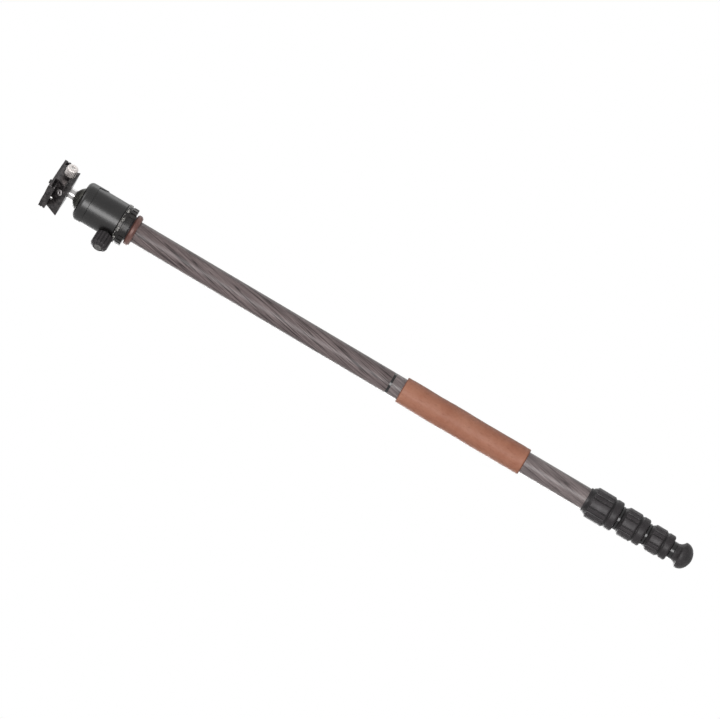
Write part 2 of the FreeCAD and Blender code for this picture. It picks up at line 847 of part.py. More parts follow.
def guide_pins_at(grow):
    """The two guide pins beside the clamp's screw."""
    start, end = clamp_split - guide_pin_sink, clamp_split + jaw_travel + guide_pin_hold
    pins = []
    for side in (-1, 1):
        pin = cylinder(guide_pin_radius + grow, start, end)
        pin = laid_out(pin, 0, clamp_screw_height)
        pin.translate(ALONG_Y * (side * guide_pin_spread))
        pins.append(pin)
    return pins


def level_place():
    """Middle of the bubble level in the clamp's floor."""
    inward = clamp_bolt_head + level_radius + level_gap
    return Vector(-inward, level_spread, clamp_floor - level_height - rest_gap)


def clamp_base():
    """Clamp body with the fixed jaw."""
    low, middle, high = lip_heights()
    half = seat_half
    top = high - wedge_gap
    corners = [(-half - fixed_wall, clamp_bottom, 0.8), (clamp_split, clamp_bottom, 0.8)]
    corners += [(clamp_split, clamp_floor)]
    corners += [(-half, clamp_floor), (-half, low), (-half + plate_groove, middle), (-half, top)]
    corners += [(-half - fixed_lip, top, 0.3)]
    body = across(corners, clamp_base_half + overlap).common(clamp_ends())
    pocket = Part.makeCylinder(level_radius, level_height + overlap, level_place())
    body = body.cut(clamp_hardware_holes() + [pocket])
    return turned_by(body, clamp_turn)


def clamp_jaw():
    """Moving jaw of the clamp."""
    low, middle, high = lip_heights()
    half = seat_half
    foot = clamp_bottom + jaw_foot_rise
    start = clamp_split + rest_gap
    top = high - wedge_gap
    corners = [(start, foot), (jaw_reach, foot, 1.0), (jaw_reach, top - jaw_slope, 0.6)]
    corners += [(half + jaw_lip, top, 0.3), (half, top), (half - plate_groove, middle), (half, low)]
    corners += [(half, clamp_floor), (start, clamp_floor)]
    body = across(corners, clamp_base_half + overlap).common(clamp_ends())
    holes = [laid_out(cylinder(clamp_screw_radius + running_gap, 0, 2 * jaw_reach), 0, clamp_screw_height)]
    holes += guide_pins_at(running_gap)
    return turned_by(body.cut(holes), clamp_turn)


def guide_pins():
    """Both guide pins."""
    return turned_by(group(guide_pins_at(0.0)), clamp_turn)


def clamp_knob():
    """Bright fluted knob of the clamp's screw, with a thinner collar towards the jaw."""
    collar = jaw_reach + rest_gap
    start = collar + clamp_collar_length
    knob = ribbed_knob(clamp_knob_radius, start, clamp_knob_end(), clamp_knob_flutes, clamp_screw_radius)
    knob = knob.fuse(pipe(clamp_collar_radius, clamp_screw_radius, collar, start + overlap)).removeSplitter()
    return laid_out(knob, clamp_turn, clamp_screw_height)


def clamp_knob_end():
    """Distance of the clamp knob's outer end from the head's axis."""
    return jaw_reach + rest_gap + clamp_collar_length + clamp_knob_length


def clamp_screw():
    """Screw of the clamp's knob, which pulls the jaw in."""
    low, high = clamp_screw_tip, clamp_knob_end() - clamp_screw_sink
    screw = turned([(0, low), (clamp_screw_radius, low, 0.5), (clamp_screw_radius, high), (0, high)])
    return laid_out(screw, clamp_turn, clamp_screw_height)


def clamp_bolt():
    """Bolt that holds the clamp on the stem."""
    head_low = clamp_floor - clamp_bolt_sink - clamp_bolt_head_height
    head_top = clamp_floor - clamp_bolt_sink
    shank_low = clamp_bottom - clamp_bolt_bite + rest_gap
    corners = [(0, shank_low), (clamp_bolt_radius, shank_low, 0.5), (clamp_bolt_radius, head_low)]
    corners += [(clamp_bolt_head, head_low), (clamp_bolt_head, head_top, 0.5), (0, head_top)]
    half_flats = clamp_bolt_socket / 2
    return turned(corners).cut(hexagon_bar(half_flats, head_top - half_flats, head_top + overlap))


def hexagon_bar(half_flats, low, high):
    """A six-sided bar on the Z axis."""
    radius = half_flats / math.cos(math.pi / 6)
    angles = [math.pi / 3 * i for i in range(7)]
    points = [Vector(radius * math.cos(a), radius * math.sin(a), low) for a in angles]
    return Part.Face(Part.makePolygon(points)).extrude(ALONG_Z * (high - low))


def level_cup():
    """Cup of the bubble level."""
    place = level_place()
    cup = Part.makeCylinder(level_radius, level_height, place)
    cup = cup.cut(Part.makeCylinder(level_radius - level_wall, level_height, place + ALONG_Z * level_wall))
    return turned_by(cup, clamp_turn)


def level_vial():
    """Clear vial in the level's cup."""
    place = level_place() + ALONG_Z * level_wall
    vial = Part.makeCylinder(level_radius - level_wall, level_height - level_wall - rest_gap, place)
    return turned_by(vial, clamp_turn)


def camera_plate():
    """Quick-release plate with sloped rims, a slot for the camera screw and recesses for rubber strips."""
    low, middle, high = lip_heights()
    half = plate_width / 2
    end = plate_length / 2
    right = [(half, plate_bottom), (half, low), (half - plate_groove, middle), (half, high)]
    right.append((half, plate_top, 0.4))
    left = [(-corner[0], *corner[1:]) for corner in reversed(right)]
    plate = across(right + left, end)
    plan = block(-half, half, -end, end, plate_bottom - overlap, plate_top + overlap)
    uprights = [e for e in plan.Edges if abs(e.Vertexes[0].Z - e.Vertexes[1].Z) > overlap]
    plate = plate.common(plan.makeFillet(plate_corner, uprights))
    slot = slot_bar(camera_thread_radius + camera_slot_gap, plate_bottom - overlap, plate_top + overlap)
    sink_top = plate_bottom + camera_head_sink + camera_head_height + camera_head_room
    sink = slot_bar(camera_head_radius + 2 * camera_slot_gap, plate_bottom - overlap, sink_top)
    plate = plate.cut([slot, sink] + strip_blocks(strip_sink, overlap) + stop_bars(0.0))
    return turned_by(plate, clamp_turn)


def slot_bar(radius, low, high):
    """A round-ended slot along the plate's length."""
    reach = slot_half_length
    ends = [Part.makeCylinder(radius, high - low, Vector(0, side * reach, low)) for side in (-1, 1)]
    return block(-radius, radius, -reach, reach, low, high).fuse(ends).removeSplitter()


def strip_blocks(sink, rise):
    """The two rubber strips' places in the plate's top."""
    start = camera_thread_radius + strip_offset
    length = plate_length / 2 - strip_inset
    low, high = plate_top - sink, plate_top + rise
    right = block(start, start + strip_width, -length, length, low, high)
    return [right, turned_by(right, 180)]


def plate_strips():
    """Rubber strips that stop the camera turning on the plate."""
    return turned_by(group(strip_blocks(strip_sink, strip_rise)), clamp_turn)


def stop_bars(drop):
    """The stop screws under the plate's ends."""
    reach = clamp_end(plate_bottom - stop_rise) + wedge_gap + plate_slide + stop_radius
    height_up = plate_foot + plate_groove_height
    bars = []
    for side in (-1, 1):
        place = Vector(0, side * reach, plate_bottom - drop)
        bars.append(Part.makeCylinder(stop_radius, height_up + drop, place))
    return bars


def plate_stops():
    """Both stop screws."""
    return turned_by(group(stop_bars(stop_rise)), clamp_turn)


def camera_screw():
    """Screw that holds the camera on the plate."""
    head_low = plate_bottom + camera_head_sink
    head_top = head_low + camera_head_height
    corners = [(0, head_low), (camera_head_radius, head_low, 0.4), (camera_head_radius, head_top, 0.4)]
    corners += [(camera_neck_radius, head_top), (camera_neck_radius, plate_top)]
    corners += [(camera_thread_radius, plate_top)]
    corners += [(camera_thread_radius, plate_top + camera_thread_rise, 0.4)]
    corners += [(0, plate_top + camera_thread_rise)]
    half, reach = camera_coin_slot / 2, camera_head_radius
    slot = block(-reach, reach, -half, half, plate_bottom, head_low + camera_coin_slot)
    return turned_by(turned(corners).cut(slot), clamp_turn)


def sections():
    """Leg tubes, locks and bushes, by node name."""
    nodes = {}
    for section in range(section_count):
        tube = leg_tube(section)
        if section > 0:
            tube = tube.cut(bush_keys(section, tube_radii[section] + overlap))
            nodes[f"guide_bush_{section}"] = guide_bush(section)
        nodes[f"leg_tube_{section + 1}"] = tube
    for lock in range(section_count - 1):
        nodes[f"lock_collar_{lock + 1}"] = lock_collar(lock)
        nodes[f"lock_nut_{lock + 1}"] = lock_nut(lock)
        nodes[f"lock_collet_{lock + 1}"] = lock_collet(lock)
        nodes[f"lock_rubber_{lock + 1}"] = lock_rubber_sleeve(lock)
    return nodes


def all_nodes():
    """Every node by name."""
    nodes = sections()
    nodes["rubber_foot"] = rubber_foot()
    nodes["foot_insert"] = foot_insert()
    nodes["grip_foam"] = grip_layer(tube_radii[0], grip_foam, grip_leather, 0.3)
    nodes["leather_grip"] = leather_grip()
    nodes["joint_stud"] = joint_stud()
    nodes["joint_socket"] = joint_socket()
    nodes["column_tube"] = pipe(tube_radii[0], inner_radius(0), column_bottom, column_top)
    nodes["top_ring"] = top_ring()
    nodes["head_stud"] = head_stud()
    nodes["friction_pad"] = pipe(friction_pad_radius, stud_radius, pad_bottom, head_bottom)
    nodes["pan_base"] = pan_base()
    nodes["scale_ring"] = scale_ring()
    nodes["retainer_disc"] = retainer_disc()
    nodes["retainer_screws"] = retaining_screws()
    nodes["ball_housing"] = ball_housing()
    nodes["upper_seat"] = upper_seat()
    nodes["lower_cup"] = lower_cup()
    nodes["lock_plunger"] = plunger()
    nodes["main_knob"] = main_knob()
    nodes["main_screw"] = main_screw()
    nodes["main_cap"] = main_cap()
    nodes["pan_knob"] = pan_knob()
    nodes["pan_screw"] = pan_screw()
    nodes["pan_cap"] = pan_cap()
    nodes["brake_shoe"] = brake_shoe()
    nodes["ball"] = ball()
    nodes["stem"] = stem()
    nodes["clamp_base"] = clamp_base()
    nodes["clamp_jaw"] = clamp_jaw()
    nodes["clamp_bolt"] = clamp_bolt()
    nodes["guide_pins"] = guide_pins()
    nodes["clamp_knob"] = clamp_knob()
    nodes["clamp_screw"] = clamp_screw()
    nodes["level_cup"] = level_cup()
    nodes["level_vial"] = level_vial()
    nodes["camera_plate"] = camera_plate()
    nodes["plate_strips"] = plate_strips()
    nodes["plate_stops"] = plate_stops()
    nodes["camera_screw"] = camera_screw()
    return nodes


def main():
    """Write one file for each node and print what the joints need."""
    os.makedirs("parts", exist_ok=True)
    for name, shape in all_nodes().items():
        shape.exportStep(f"parts/{name}.step")
        sound = shape.isValid() and all(s.isValid() for s in shape.Solids)
        state = "sound" if sound else "NOT SOUND"
        print(f"{name}: {len(shape.Solids)} solids, {shape.Volume:.1f} mm3, {state}")
    for section in range(1, section_count):
        travel = section_top(section) - tube_end(section - 1) - slide_overlap
        print(f"section {section + 1} slides out {travel:.1f} mm")
    print(f"ball centre {ball_height:.2f}, pan axis {pan_axis:.2f}, main axis {main_axis:.2f}")
    print(f"clamp floor {clamp_floor:.2f}, clamp screw {clamp_screw_height:.2f}, plate top {plate_top:.2f}")
    print(f"grip {grip_bottom:.2f} to {grip_top:.2f}")


main()
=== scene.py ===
"""Looks of a monopod with a ball head: surfaces, finishes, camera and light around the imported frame.

Every length is in metres in the row frame: +Z runs up the monopod and the foot's tip is the origin.
"""

import logging
import math
from dataclasses import dataclass
from enum import Enum
from typing import Callable, Sequence

import bmesh
import bpy
import numpy as np
from mathutils import Matrix, Vector


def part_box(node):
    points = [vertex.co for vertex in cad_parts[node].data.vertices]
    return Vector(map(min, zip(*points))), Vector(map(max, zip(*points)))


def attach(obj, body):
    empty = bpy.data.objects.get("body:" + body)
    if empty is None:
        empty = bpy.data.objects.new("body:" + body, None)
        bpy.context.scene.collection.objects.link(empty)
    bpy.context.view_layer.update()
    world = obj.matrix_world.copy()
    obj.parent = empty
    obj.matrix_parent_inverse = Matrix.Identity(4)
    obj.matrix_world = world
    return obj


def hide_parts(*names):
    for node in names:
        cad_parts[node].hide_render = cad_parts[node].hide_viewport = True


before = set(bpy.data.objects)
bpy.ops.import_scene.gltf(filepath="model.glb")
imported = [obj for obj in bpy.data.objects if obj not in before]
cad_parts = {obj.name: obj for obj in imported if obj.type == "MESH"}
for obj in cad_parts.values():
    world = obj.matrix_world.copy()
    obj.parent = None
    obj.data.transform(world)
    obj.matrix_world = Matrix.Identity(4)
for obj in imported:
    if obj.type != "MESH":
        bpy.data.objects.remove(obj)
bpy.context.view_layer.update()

log = logging.getLogger("monopod")
MM = 0.001
TURN = 2 * math.pi
LOCKS = (1, 2, 3)
Socket = bpy.types.NodeSocket
# Points, and the faces that index them.
Form = tuple[np.ndarray, np.ndarray]


class Slot(Enum):
    """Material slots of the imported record."""

    CARBON = "carbon"
    LEATHER = "leather"
    BLACK_ANODISED = "black_anodised"
    RUBBER = "rubber"
    DARK_BALL = "dark_ball"
    BRIGHT_STEEL = "bright_steel"
    STEEL = "steel"
    LEVEL_GLASS = "level_glass"


class Axis(Enum):
    """Directions that pieces of the head point in, as turns about Z in degrees from +X."""

    MAIN_KNOB = 85.0
    PAN_KNOB = -160.0
    CLAMP = -52.0

    @property
    def radians(self) -> float:
        """The turn in radians."""
        return math.radians(self.value)


def extent(node: str) -> tuple[np.ndarray, np.ndarray]:
    """Lowest and highest corner of a frame node.

    Args:
        node: name of the node.

    Returns:
        Both corners as arrays of three lengths.
    """
    low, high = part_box(node)
    return np.array(low), np.array(high)


def smooth_step(x: np.ndarray, start: float, end: float) -> np.ndarray:
    """Ramp from 0 at start to 1 at end along 3t^2 - 2t^3, with t the share of the way.

    Args:
        x: places to look at.
        start: place where the ramp starts.
        end: place where it ends; it may lie below start.

    Returns:
        The ramp's value at each place.
    """
    t = np.clip((np.asarray(x, float) - start) / (end - start), 0.0, 1.0)
    return t * t * (3 - 2 * t)


def ripple_noise(x: np.ndarray, y: np.ndarray, seed: int, waves: int = 9) -> np.ndarray:
    """Smooth unevenness: a sum of sine waves with seeded directions and phases.

    The value is the sum of sin(a x + b y + c) over the waves, divided by the root of their number. Each wave
    draws its own a, b and c; a is a whole number, so the pattern closes on itself when x is an angle.

    Args:
        x: angle in radians.
        y: place along the piece, in units of the wanted wave length.
        seed: start of the random draws.
        waves: number of waves.

    Returns:
        Values mostly between -1 and 1.
    """
    draw = np.random.default_rng(seed)
    total = np.zeros(np.broadcast(x, y).shape)
    for _ in range(waves):
        around = int(draw.integers(-4, 5))
        along, phase = draw.uniform(0.4, 2.4), draw.uniform(0, TURN)
        total = total + np.sin(around * x + along * y + phase)
    return total / math.sqrt(waves)


def rounded_profile(corners: Sequence[Sequence[float]], step: float = 0.35 * MM) -> np.ndarray:
    """Closed or open profile with rounded corners and evenly spaced points.

    A corner with a third number is replaced by an arc of that radius that meets both sides. Each straight
    side is divided into equal steps.

    Args:
        corners: (radius, height) or (radius, height, rounding) in metres, in order.
        step: wanted distance between points.

    Returns:
        An array of (radius, height) rows; the last row isn't joined to the first.
    """
    rows: list[np.ndarray] = []
    count = len(corners)
    for i, corner in enumerate(corners):
        point = np.array(corner[:2], float)
        rounding = corner[2] if len(corner) > 2 else 0.0
        if rounding <= 0 or i in (0, count - 1):
            rows.append(point[None, :])
            continue
        before = np.array(corners[i - 1][:2], float) - point
        after = np.array(corners[i + 1][:2], float) - point
        before, after = before / np.linalg.norm(before), after / np.linalg.norm(after)
        half = math.acos(float(np.clip(before @ after, -1, 1))) / 2
        middle = before + after
        centre = point + middle / np.linalg.norm(middle) * rounding / math.sin(half)
        first, last = point + before * rounding / math.tan(half), point + after * rounding / math.tan(half)
        a0 = math.atan2(*(first - centre)[::-1])
        a1 = math.atan2(*(last - centre)[::-1])
        sweep = (a1 - a0 + math.pi) % TURN - math.pi
        angles = a0 + sweep * np.linspace(0, 1, max(4, int(abs(sweep) * rounding / step) + 2))
        rows.append(centre + rounding * np.stack([np.cos(angles), np.sin(angles)], 1))
    points = np.concatenate(rows)
    filled = []
    for a, b in zip(points[:-1], points[1:]):
        pieces = max(1, int(np.linalg.norm(b - a) / (step * 3)))
        filled.append(a + (b - a) * np.linspace(0, 1, pieces, endpoint=False)[:, None])
    return np.concatenate(filled + [points[-1:]])


def grid_quads(
    rows: int, columns: int, wrap: tuple[bool, bool]
) -> tuple[np.ndarray, np.ndarray, np.ndarray]:
    """Four-sided faces between the neighbours of a grid whose points are numbered row by row.

    Args:
        rows: number of rows.
        columns: number of columns.
        wrap: whether the rows and the columns close on themselves.

    Returns:
        The faces, then each face's row and its column.
    """
    across = np.arange(rows if wrap[0] else rows - 1)
    along = np.arange(columns if wrap[1] else columns - 1)
    i, j = np.meshgrid(across, along, indexing="ij")
    i2, j2 = (i + 1) % rows, (j + 1) % columns
    corners = [i * columns + j, i2 * columns + j, i2 * columns + j2, i * columns + j2]
    return np.stack(corners, -1).reshape(-1, 4), i, j


def grid_mesh(
    name: str, points: np.ndarray, wrap: tuple[bool, bool], attributes: dict | None = None
) -> bpy.types.Object:
    """Mesh of four-sided faces over a grid of points, with a UV map of the grid's two parameters.

    Args:
        name: the piece's name.
        points: array of shape (rows, columns, 3).
        wrap: whether the rows and the columns close on themselves.
        attributes: per-point values to keep on the mesh, each an array of shape (rows, columns).

    Returns:
        The new object, at the origin, with its faces pointing outwards.
    """
    rows, columns = points.shape[:2]
    quads, i, j = grid_quads(rows, columns, wrap)
    mesh = bpy.data.meshes.new(name)
    mesh.vertices.add(rows * columns)
    mesh.vertices.foreach_set("co", points.astype(np.float32).ravel())
    mesh.loops.add(quads.size)
    mesh.loops.foreach_set("vertex_index", quads.astype(np.int32).ravel())
    mesh.polygons.add(len(quads))
    mesh.polygons.foreach_set("loop_start", np.arange(0, quads.size, 4, dtype=np.int32))
    u = np.stack([i, i + 1, i + 1, i], -1).reshape(-1) / rows
    v = np.stack([j, j, j + 1, j + 1], -1).reshape(-1) / columns
    mesh.update(calc_edges=True)
    layer = mesh.uv_layers.new(name="surface")
    layer.data.foreach_set("uv", np.stack([u, v], -1).astype(np.float32).ravel())
    for key, values in (attributes or {}).items():
        kept = mesh.attributes.new(key, "FLOAT", "POINT")
        kept.data.foreach_set("value", np.broadcast_to(values, (rows, columns)).astype(np.float32).ravel())
    return seal(name, mesh)


def seal(name: str, mesh: bpy.types.Mesh) -> bpy.types.Object:
    """Joins doubled points such as poles, turns faces outwards and links the piece.

    Args:
        name: the piece's name.
        mesh: its mesh.

    Returns:
        The linked object.
    """
    work = bmesh.new()
    work.from_mesh(mesh)
    bmesh.ops.remove_doubles(work, verts=work.verts, dist=1e-7)
    bmesh.ops.dissolve_degenerate(work, edges=work.edges, dist=1e-8)
    bmesh.ops.recalc_face_normals(work, faces=work.faces)
    work.to_mesh(mesh)
    work.free()
    mesh.polygons.foreach_set("use_smooth", np.ones(len(mesh.polygons), bool))
    piece = bpy.data.objects.new(name, mesh)
    bpy.context.scene.collection.objects.link(piece)
    return piece


def merged(name: str, parts: Sequence[Form]) -> bpy.types.Object:
    """One piece from several small closed forms.

    Args:
        name: the piece's name.
        parts: pairs of points (n, 3) and faces (m, 3 or 4) that index them.

    Returns:
        The linked object.
    """
    mesh = bpy.data.meshes.new(name)
    start, points, faces = 0, [], []
    for corner_points, indices in parts:
        points.append(corner_points)
        faces.extend((indices + start).tolist())
        start += len(corner_points)
    mesh.from_pydata(np.concatenate(points).tolist(), [], faces)
    return seal(name, mesh)


def turned_surface(
    name: str,
    profile: np.ndarray,
    segments: int = 128,
    closed: bool = False,
    shape: Callable[[np.ndarray, np.ndarray, np.ndarray], np.ndarray] | None = None,
    attributes: Callable[[np.ndarray, np.ndarray], dict] | None = None,
    place: np.ndarray | None = None,
) -> bpy.types.Object:
    """Surface of turning: x = r cos a, y = r sin a, z = z; a function of a, r and z may change r.

    Args:
        name: the piece's name.
        profile: rows of (radius, height).
        segments: steps round the axis.
        closed: whether the profile closes on itself.
        shape: gives the radius from angle, radius and height, for ribs and pads.
        attributes: gives values to keep from angle and height.
        place: a 4 by 4 matrix that carries the surface to its place.

    Returns:
        The new piece.
    """
    angle = np.linspace(0, TURN, segments, endpoint=False)[:, None]
    radius, height = profile[None, :, 0], profile[None, :, 1]
    spread = radius * np.ones_like(angle)
    if shape is not None:
        spread = shape(angle, spread, height * np.ones_like(angle))
    points = np.stack([spread * np.cos(angle), spread * np.sin(angle), height * np.ones_like(angle)], -1)
    if place is not None:
        points = points @ place[:3, :3].T + place[:3, 3]
    kept = attributes(angle, height) if attributes else None
    return grid_mesh(name, points, (True, closed), kept)


def lying(direction: float, height: float) -> np.ndarray:
    """Matrix that lays a form made about Z on its side, pointing out from the head's axis.

    Args:
        direction: turn about Z in radians from +X.
        height: height of the laid axis.

    Returns:
        A 4 by 4 array.
    """
    raised = Matrix.Translation((0, 0, height))
    return np.array(raised @ Matrix.Rotation(direction, 4, "Z") @ Matrix.Rotation(math.pi / 2, 4, "Y"))


def capsule(start: np.ndarray, end: np.ndarray, radius: float, sides: int = 8) -> Form:
    """Small thread-like form: rings of r sin t along the way from start to end, with rounded ends.

    Args:
        start: first end.
        end: last end.
        radius: half its thickness.
        sides: steps round it.

    Returns:
        Points and faces.
    """
    along = end - start
    length = np.linalg.norm(along)
    along = along / length
    side = np.cross(along, [0.0, 0.0, 1.0] if abs(along[2]) < 0.9 else [1.0, 0.0, 0.0])
    side = side / np.linalg.norm(side)
    other = np.cross(along, side)
    turns = np.linspace(0, math.pi / 2, 4)
    places = np.concatenate([radius - radius * np.cos(turns), length - radius + radius * np.sin(turns)])
    widths = np.concatenate([radius * np.sin(turns), radius * np.cos(turns)])
    angle = np.linspace(0, TURN, sides, endpoint=False)
    ring = np.cos(angle)[:, None] * side + np.sin(angle)[:, None] * other
    points = start + places[:, None, None] * along + widths[:, None, None] * ring[None]
    return points.reshape(-1, 3), grid_quads(len(places), sides, (False, True))[0]


def plate_block(low: Sequence[float], high: Sequence[float], matrix: np.ndarray) -> Form:
    """Small box between two corners, carried by a matrix.

    Args:
        low: lowest corner.
        high: highest corner.
        matrix: 4 by 4 array.

    Returns:
        Points and faces.
    """
    pick = np.array([[i & 1, i >> 1 & 1, i >> 2 & 1] for i in range(8)], float)
    points = np.asarray(low) + pick * (np.asarray(high) - np.asarray(low))
    faces = np.array([[0, 2, 3, 1], [4, 5, 7, 6], [0, 1, 5, 4], [2, 6, 7, 3], [0, 4, 6, 2], [1, 3, 7, 5]])
    return points @ matrix[:3, :3].T + matrix[:3, 3], faces


class NodeSheet:
    """A material's node tree with short ways to add and join nodes."""

    def __init__(self, name: str) -> None:
        """Starts a material with only its output and surface shader.

        Args:
            name: the material's name.
        """
        self.material = bpy.data.materials.new(name)
        self.material.use_nodes = True
        self.tree = self.material.node_tree
        self.surface = self.tree.nodes["Principled BSDF"]
        self.place = self.add("TexCoord").outputs["Object"]

    def add(self, kind: str, **inputs: object) -> bpy.types.Node:
        """Adds a shader node.

        Args:
            kind: the node type's name without its ShaderNode prefix.
            **inputs: settings and socket values; a name with spaces is written with underscores.

        Returns:
            The node.
        """
        node = self.tree.nodes.new("ShaderNode" + kind)
        for key, value in inputs.items():
            if hasattr(node, key) and not isinstance(value, Socket):
                setattr(node, key, value)
            else:
                self.feed(node, key.replace("_", " "), value)
        return node

    def feed(self, node: bpy.types.Node, socket: str | int, value: object) -> None:
        """Sets or links an input.

        Args:
            node: the node.
            socket: the input's name or number.
            value: another node's output, or a plain value.
        """
        target = node.inputs[socket]
        if isinstance(value, Socket):
            self.tree.links.new(value, target)
        else:
            target.default_value = value

    def math(self, operation: str, *values: Socket | float) -> Socket:
        """Result of a sum on one to three values."""
        node = self.tree.nodes.new("ShaderNodeMath")
        node.operation = operation
        for i, value in enumerate(values):
            self.feed(node, i, value)
        return node.outputs[0]

    def stretched(self, scale: Sequence[float], twist: float = 0.0) -> Socket:
        """Object coordinates stretched along the axes, after a twist about Z that grows with height.

        Args:
            scale: factors for x, y and z.
            twist: radians a metre.

        Returns:
            The coordinates.
        """
        source = self.place
        if twist:
            parts = self.add("SeparateXYZ", Vector=source)
            turn = self.math("MULTIPLY", parts.outputs["Z"], twist)
            rotated = self.add("VectorRotate", rotation_type="Z_AXIS", Vector=source, Angle=turn)
            source = rotated.outputs[0]
        return self.add("Mapping", Vector=source, Scale=tuple(scale)).outputs[0]

    def noise(self, scale: float, detail: float, rough: float, vector: Socket | None = None) -> Socket:
        """Cloudy noise; scale is in waves a metre of the coordinates."""
        node = self.add("TexNoise", Scale=scale, Detail=detail, Roughness=rough)
        self.feed(node, "Vector", self.place if vector is None else vector)
        return node.outputs[0]

    def cells(self, scale: float) -> Socket:
        """Distance to the nearest of scattered points; scale is in cells a metre."""
        return self.add("TexVoronoi", feature="F1", Scale=scale, Vector=self.place).outputs["Distance"]

    def spread(self, value: Socket, low: float, high: float, to_low: float, to_high: float) -> Socket:
        """Maps a range of values to another, held at its ends."""
        node = self.tree.nodes.new("ShaderNodeMapRange")
        for i, item in enumerate((value, low, high, to_low, to_high)):
            self.feed(node, i, item)
        return node.outputs[0]

    def blended(self, share: Socket, first: Socket | tuple, second: Socket | tuple) -> Socket:
        """Colour between two colours by a share.

        Args:
            share: 0 gives the first, 1 the second.
            first: colour or output.
            second: colour or output.

        Returns:
            The blended colour.
        """
        node = self.add("Mix", data_type="RGBA")
        self.feed(node, 0, share)
        for socket, value in ((6, first), (7, second)):
            if not isinstance(value, Socket):
                value = (*value, 1.0)
            self.feed(node, socket, value)
        return node.outputs[2]

    def bumped(self, height: Socket, depth: float, strength: float, under: Socket | None = None) -> Socket:
        """Normal changed by a height.

        Args:
            height: output that gives the height from 0 to 1.
            depth: metres that 1 stands for.
            strength: share of the effect.
            under: normal to start from.

        Returns:
            The normal.
        """
        node = self.add("Bump", Strength=strength, Distance=depth, Height=height)
        if under is not None:
            self.feed(node, "Normal", under)
        return node.outputs[0]

    def finish(self, **inputs: object) -> bpy.types.Material:
        """Feeds the surface shader and gives back the material."""
        for key, value in inputs.items():
            if key.endswith("Color") and not isinstance(value, Socket):
                value = (*value, 1.0)
            self.feed(self.surface, key.replace("_", " "), value)
        return self.material


def srgb(red: int, green: int, blue: int) -> tuple[float, float, float]:
    """Linear colour of an 8-bit colour, by the power of 2.2."""
    return tuple((c / 255) ** 2.2 for c in (red, green, blue))


@dataclass(frozen=True)
class CarbonLaminate:
    """Satin carbon tube whose grain runs in long slanting streaks."""

    name: str = "carbon_laminate"
    pale: tuple = srgb(134, 121, 120)
    middle: tuple = srgb(78, 69, 69)
    dark: tuple = srgb(34, 28, 29)
    slant: float = -15.5
    streak: float = 330.0
    fibre: float = 1500.0
    roughness: float = 0.38
    lines: float = 0.76

    def make(self) -> bpy.types.Material:
        """Dark lines are where noise crosses its middle; broader and finer noise shades the ground between.

        The noise lies on coordinates that are twisted about the tube and drawn out along it.
        """
        sheet = NodeSheet(self.name)
        streaks = sheet.noise(self.streak, 1.0, 0.4, sheet.stretched((1, 1, 0.032), self.slant))
        broad = sheet.noise(self.streak * 0.5, 3.0, 0.6, sheet.stretched((1, 1, 0.12), self.slant))
        fibres = sheet.noise(self.fibre, 2.0, 0.6, sheet.stretched((1, 1, 0.03), self.slant))
        crossing = sheet.math("ABSOLUTE", sheet.math("SUBTRACT", streaks, 0.5))
        mask = sheet.spread(crossing, 0.012, 0.048, 1.0, 0.0)
        thin, wide = sheet.spread(fibres, 0.3, 0.65, 0.25, 1.0), sheet.spread(broad, 0.3, 0.6, 0.35, 1.0)
        ground = sheet.blended(sheet.math("MULTIPLY", thin, wide), self.middle, self.pale)
        darker = sheet.math("MULTIPLY", mask, self.lines)
        colour = sheet.blended(darker, ground, self.dark)
        rough = sheet.spread(fibres, 0.3, 0.7, self.roughness - 0.06, self.roughness + 0.08)
        normal = sheet.bumped(fibres, 0.03 * MM, 0.35)
        return sheet.finish(Base_Color=colour, Roughness=rough, Normal=normal, Specular_IOR_Level=0.26)


@dataclass(frozen=True)
class MouldedRubber:
    """Matt rubber with a fine pebbled skin, a little paler where hands rub it; with the raised mark, pads
    are also paler as painted highlight and the valleys between them darker as painted shade.
    """

    name: str = "moulded_rubber"
    ground: tuple = srgb(46, 44, 45)
    rubbed: tuple = srgb(68, 64, 66)
    roughness: float = 0.44
    pebble: float = 2600.0
    bump: float = 0.05
    # Whether the raised mark lightens the colour: partly wear, partly painted highlight on pads with painted
    # shade between them.
    worn_attribute: bool = False

    def make(self) -> bpy.types.Material:
        """Pebbles are scattered cells; cloudy noise lightens the colour in patches, and the raised mark
        lightens it on pads as painted highlight, leaving painted shade between them.
        """
        sheet = NodeSheet(self.name)
        cloud = sheet.noise(120.0, 4.0, 0.6)
        share = sheet.spread(cloud, 0.42, 0.75, 0.05, 0.55)
        if self.worn_attribute:
            mark = sheet.add("Attribute", attribute_name="raised").outputs["Fac"]
            share = sheet.math("ADD", sheet.math("MULTIPLY", share, 0.6), sheet.math("MULTIPLY", mark, 0.55))
        colour = sheet.blended(share, self.ground, self.rubbed)
        rough = sheet.spread(cloud, 0.3, 0.7, self.roughness + 0.06, self.roughness - 0.06)
        pebbles = sheet.spread(sheet.cells(self.pebble), 0.0, 0.8, 1.0, 0.0)
        normal = sheet.bumped(pebbles, self.bump * MM, 0.5)
        return sheet.finish(Base_Color=colour, Roughness=rough, Normal=normal, Specular_IOR_Level=0.25)


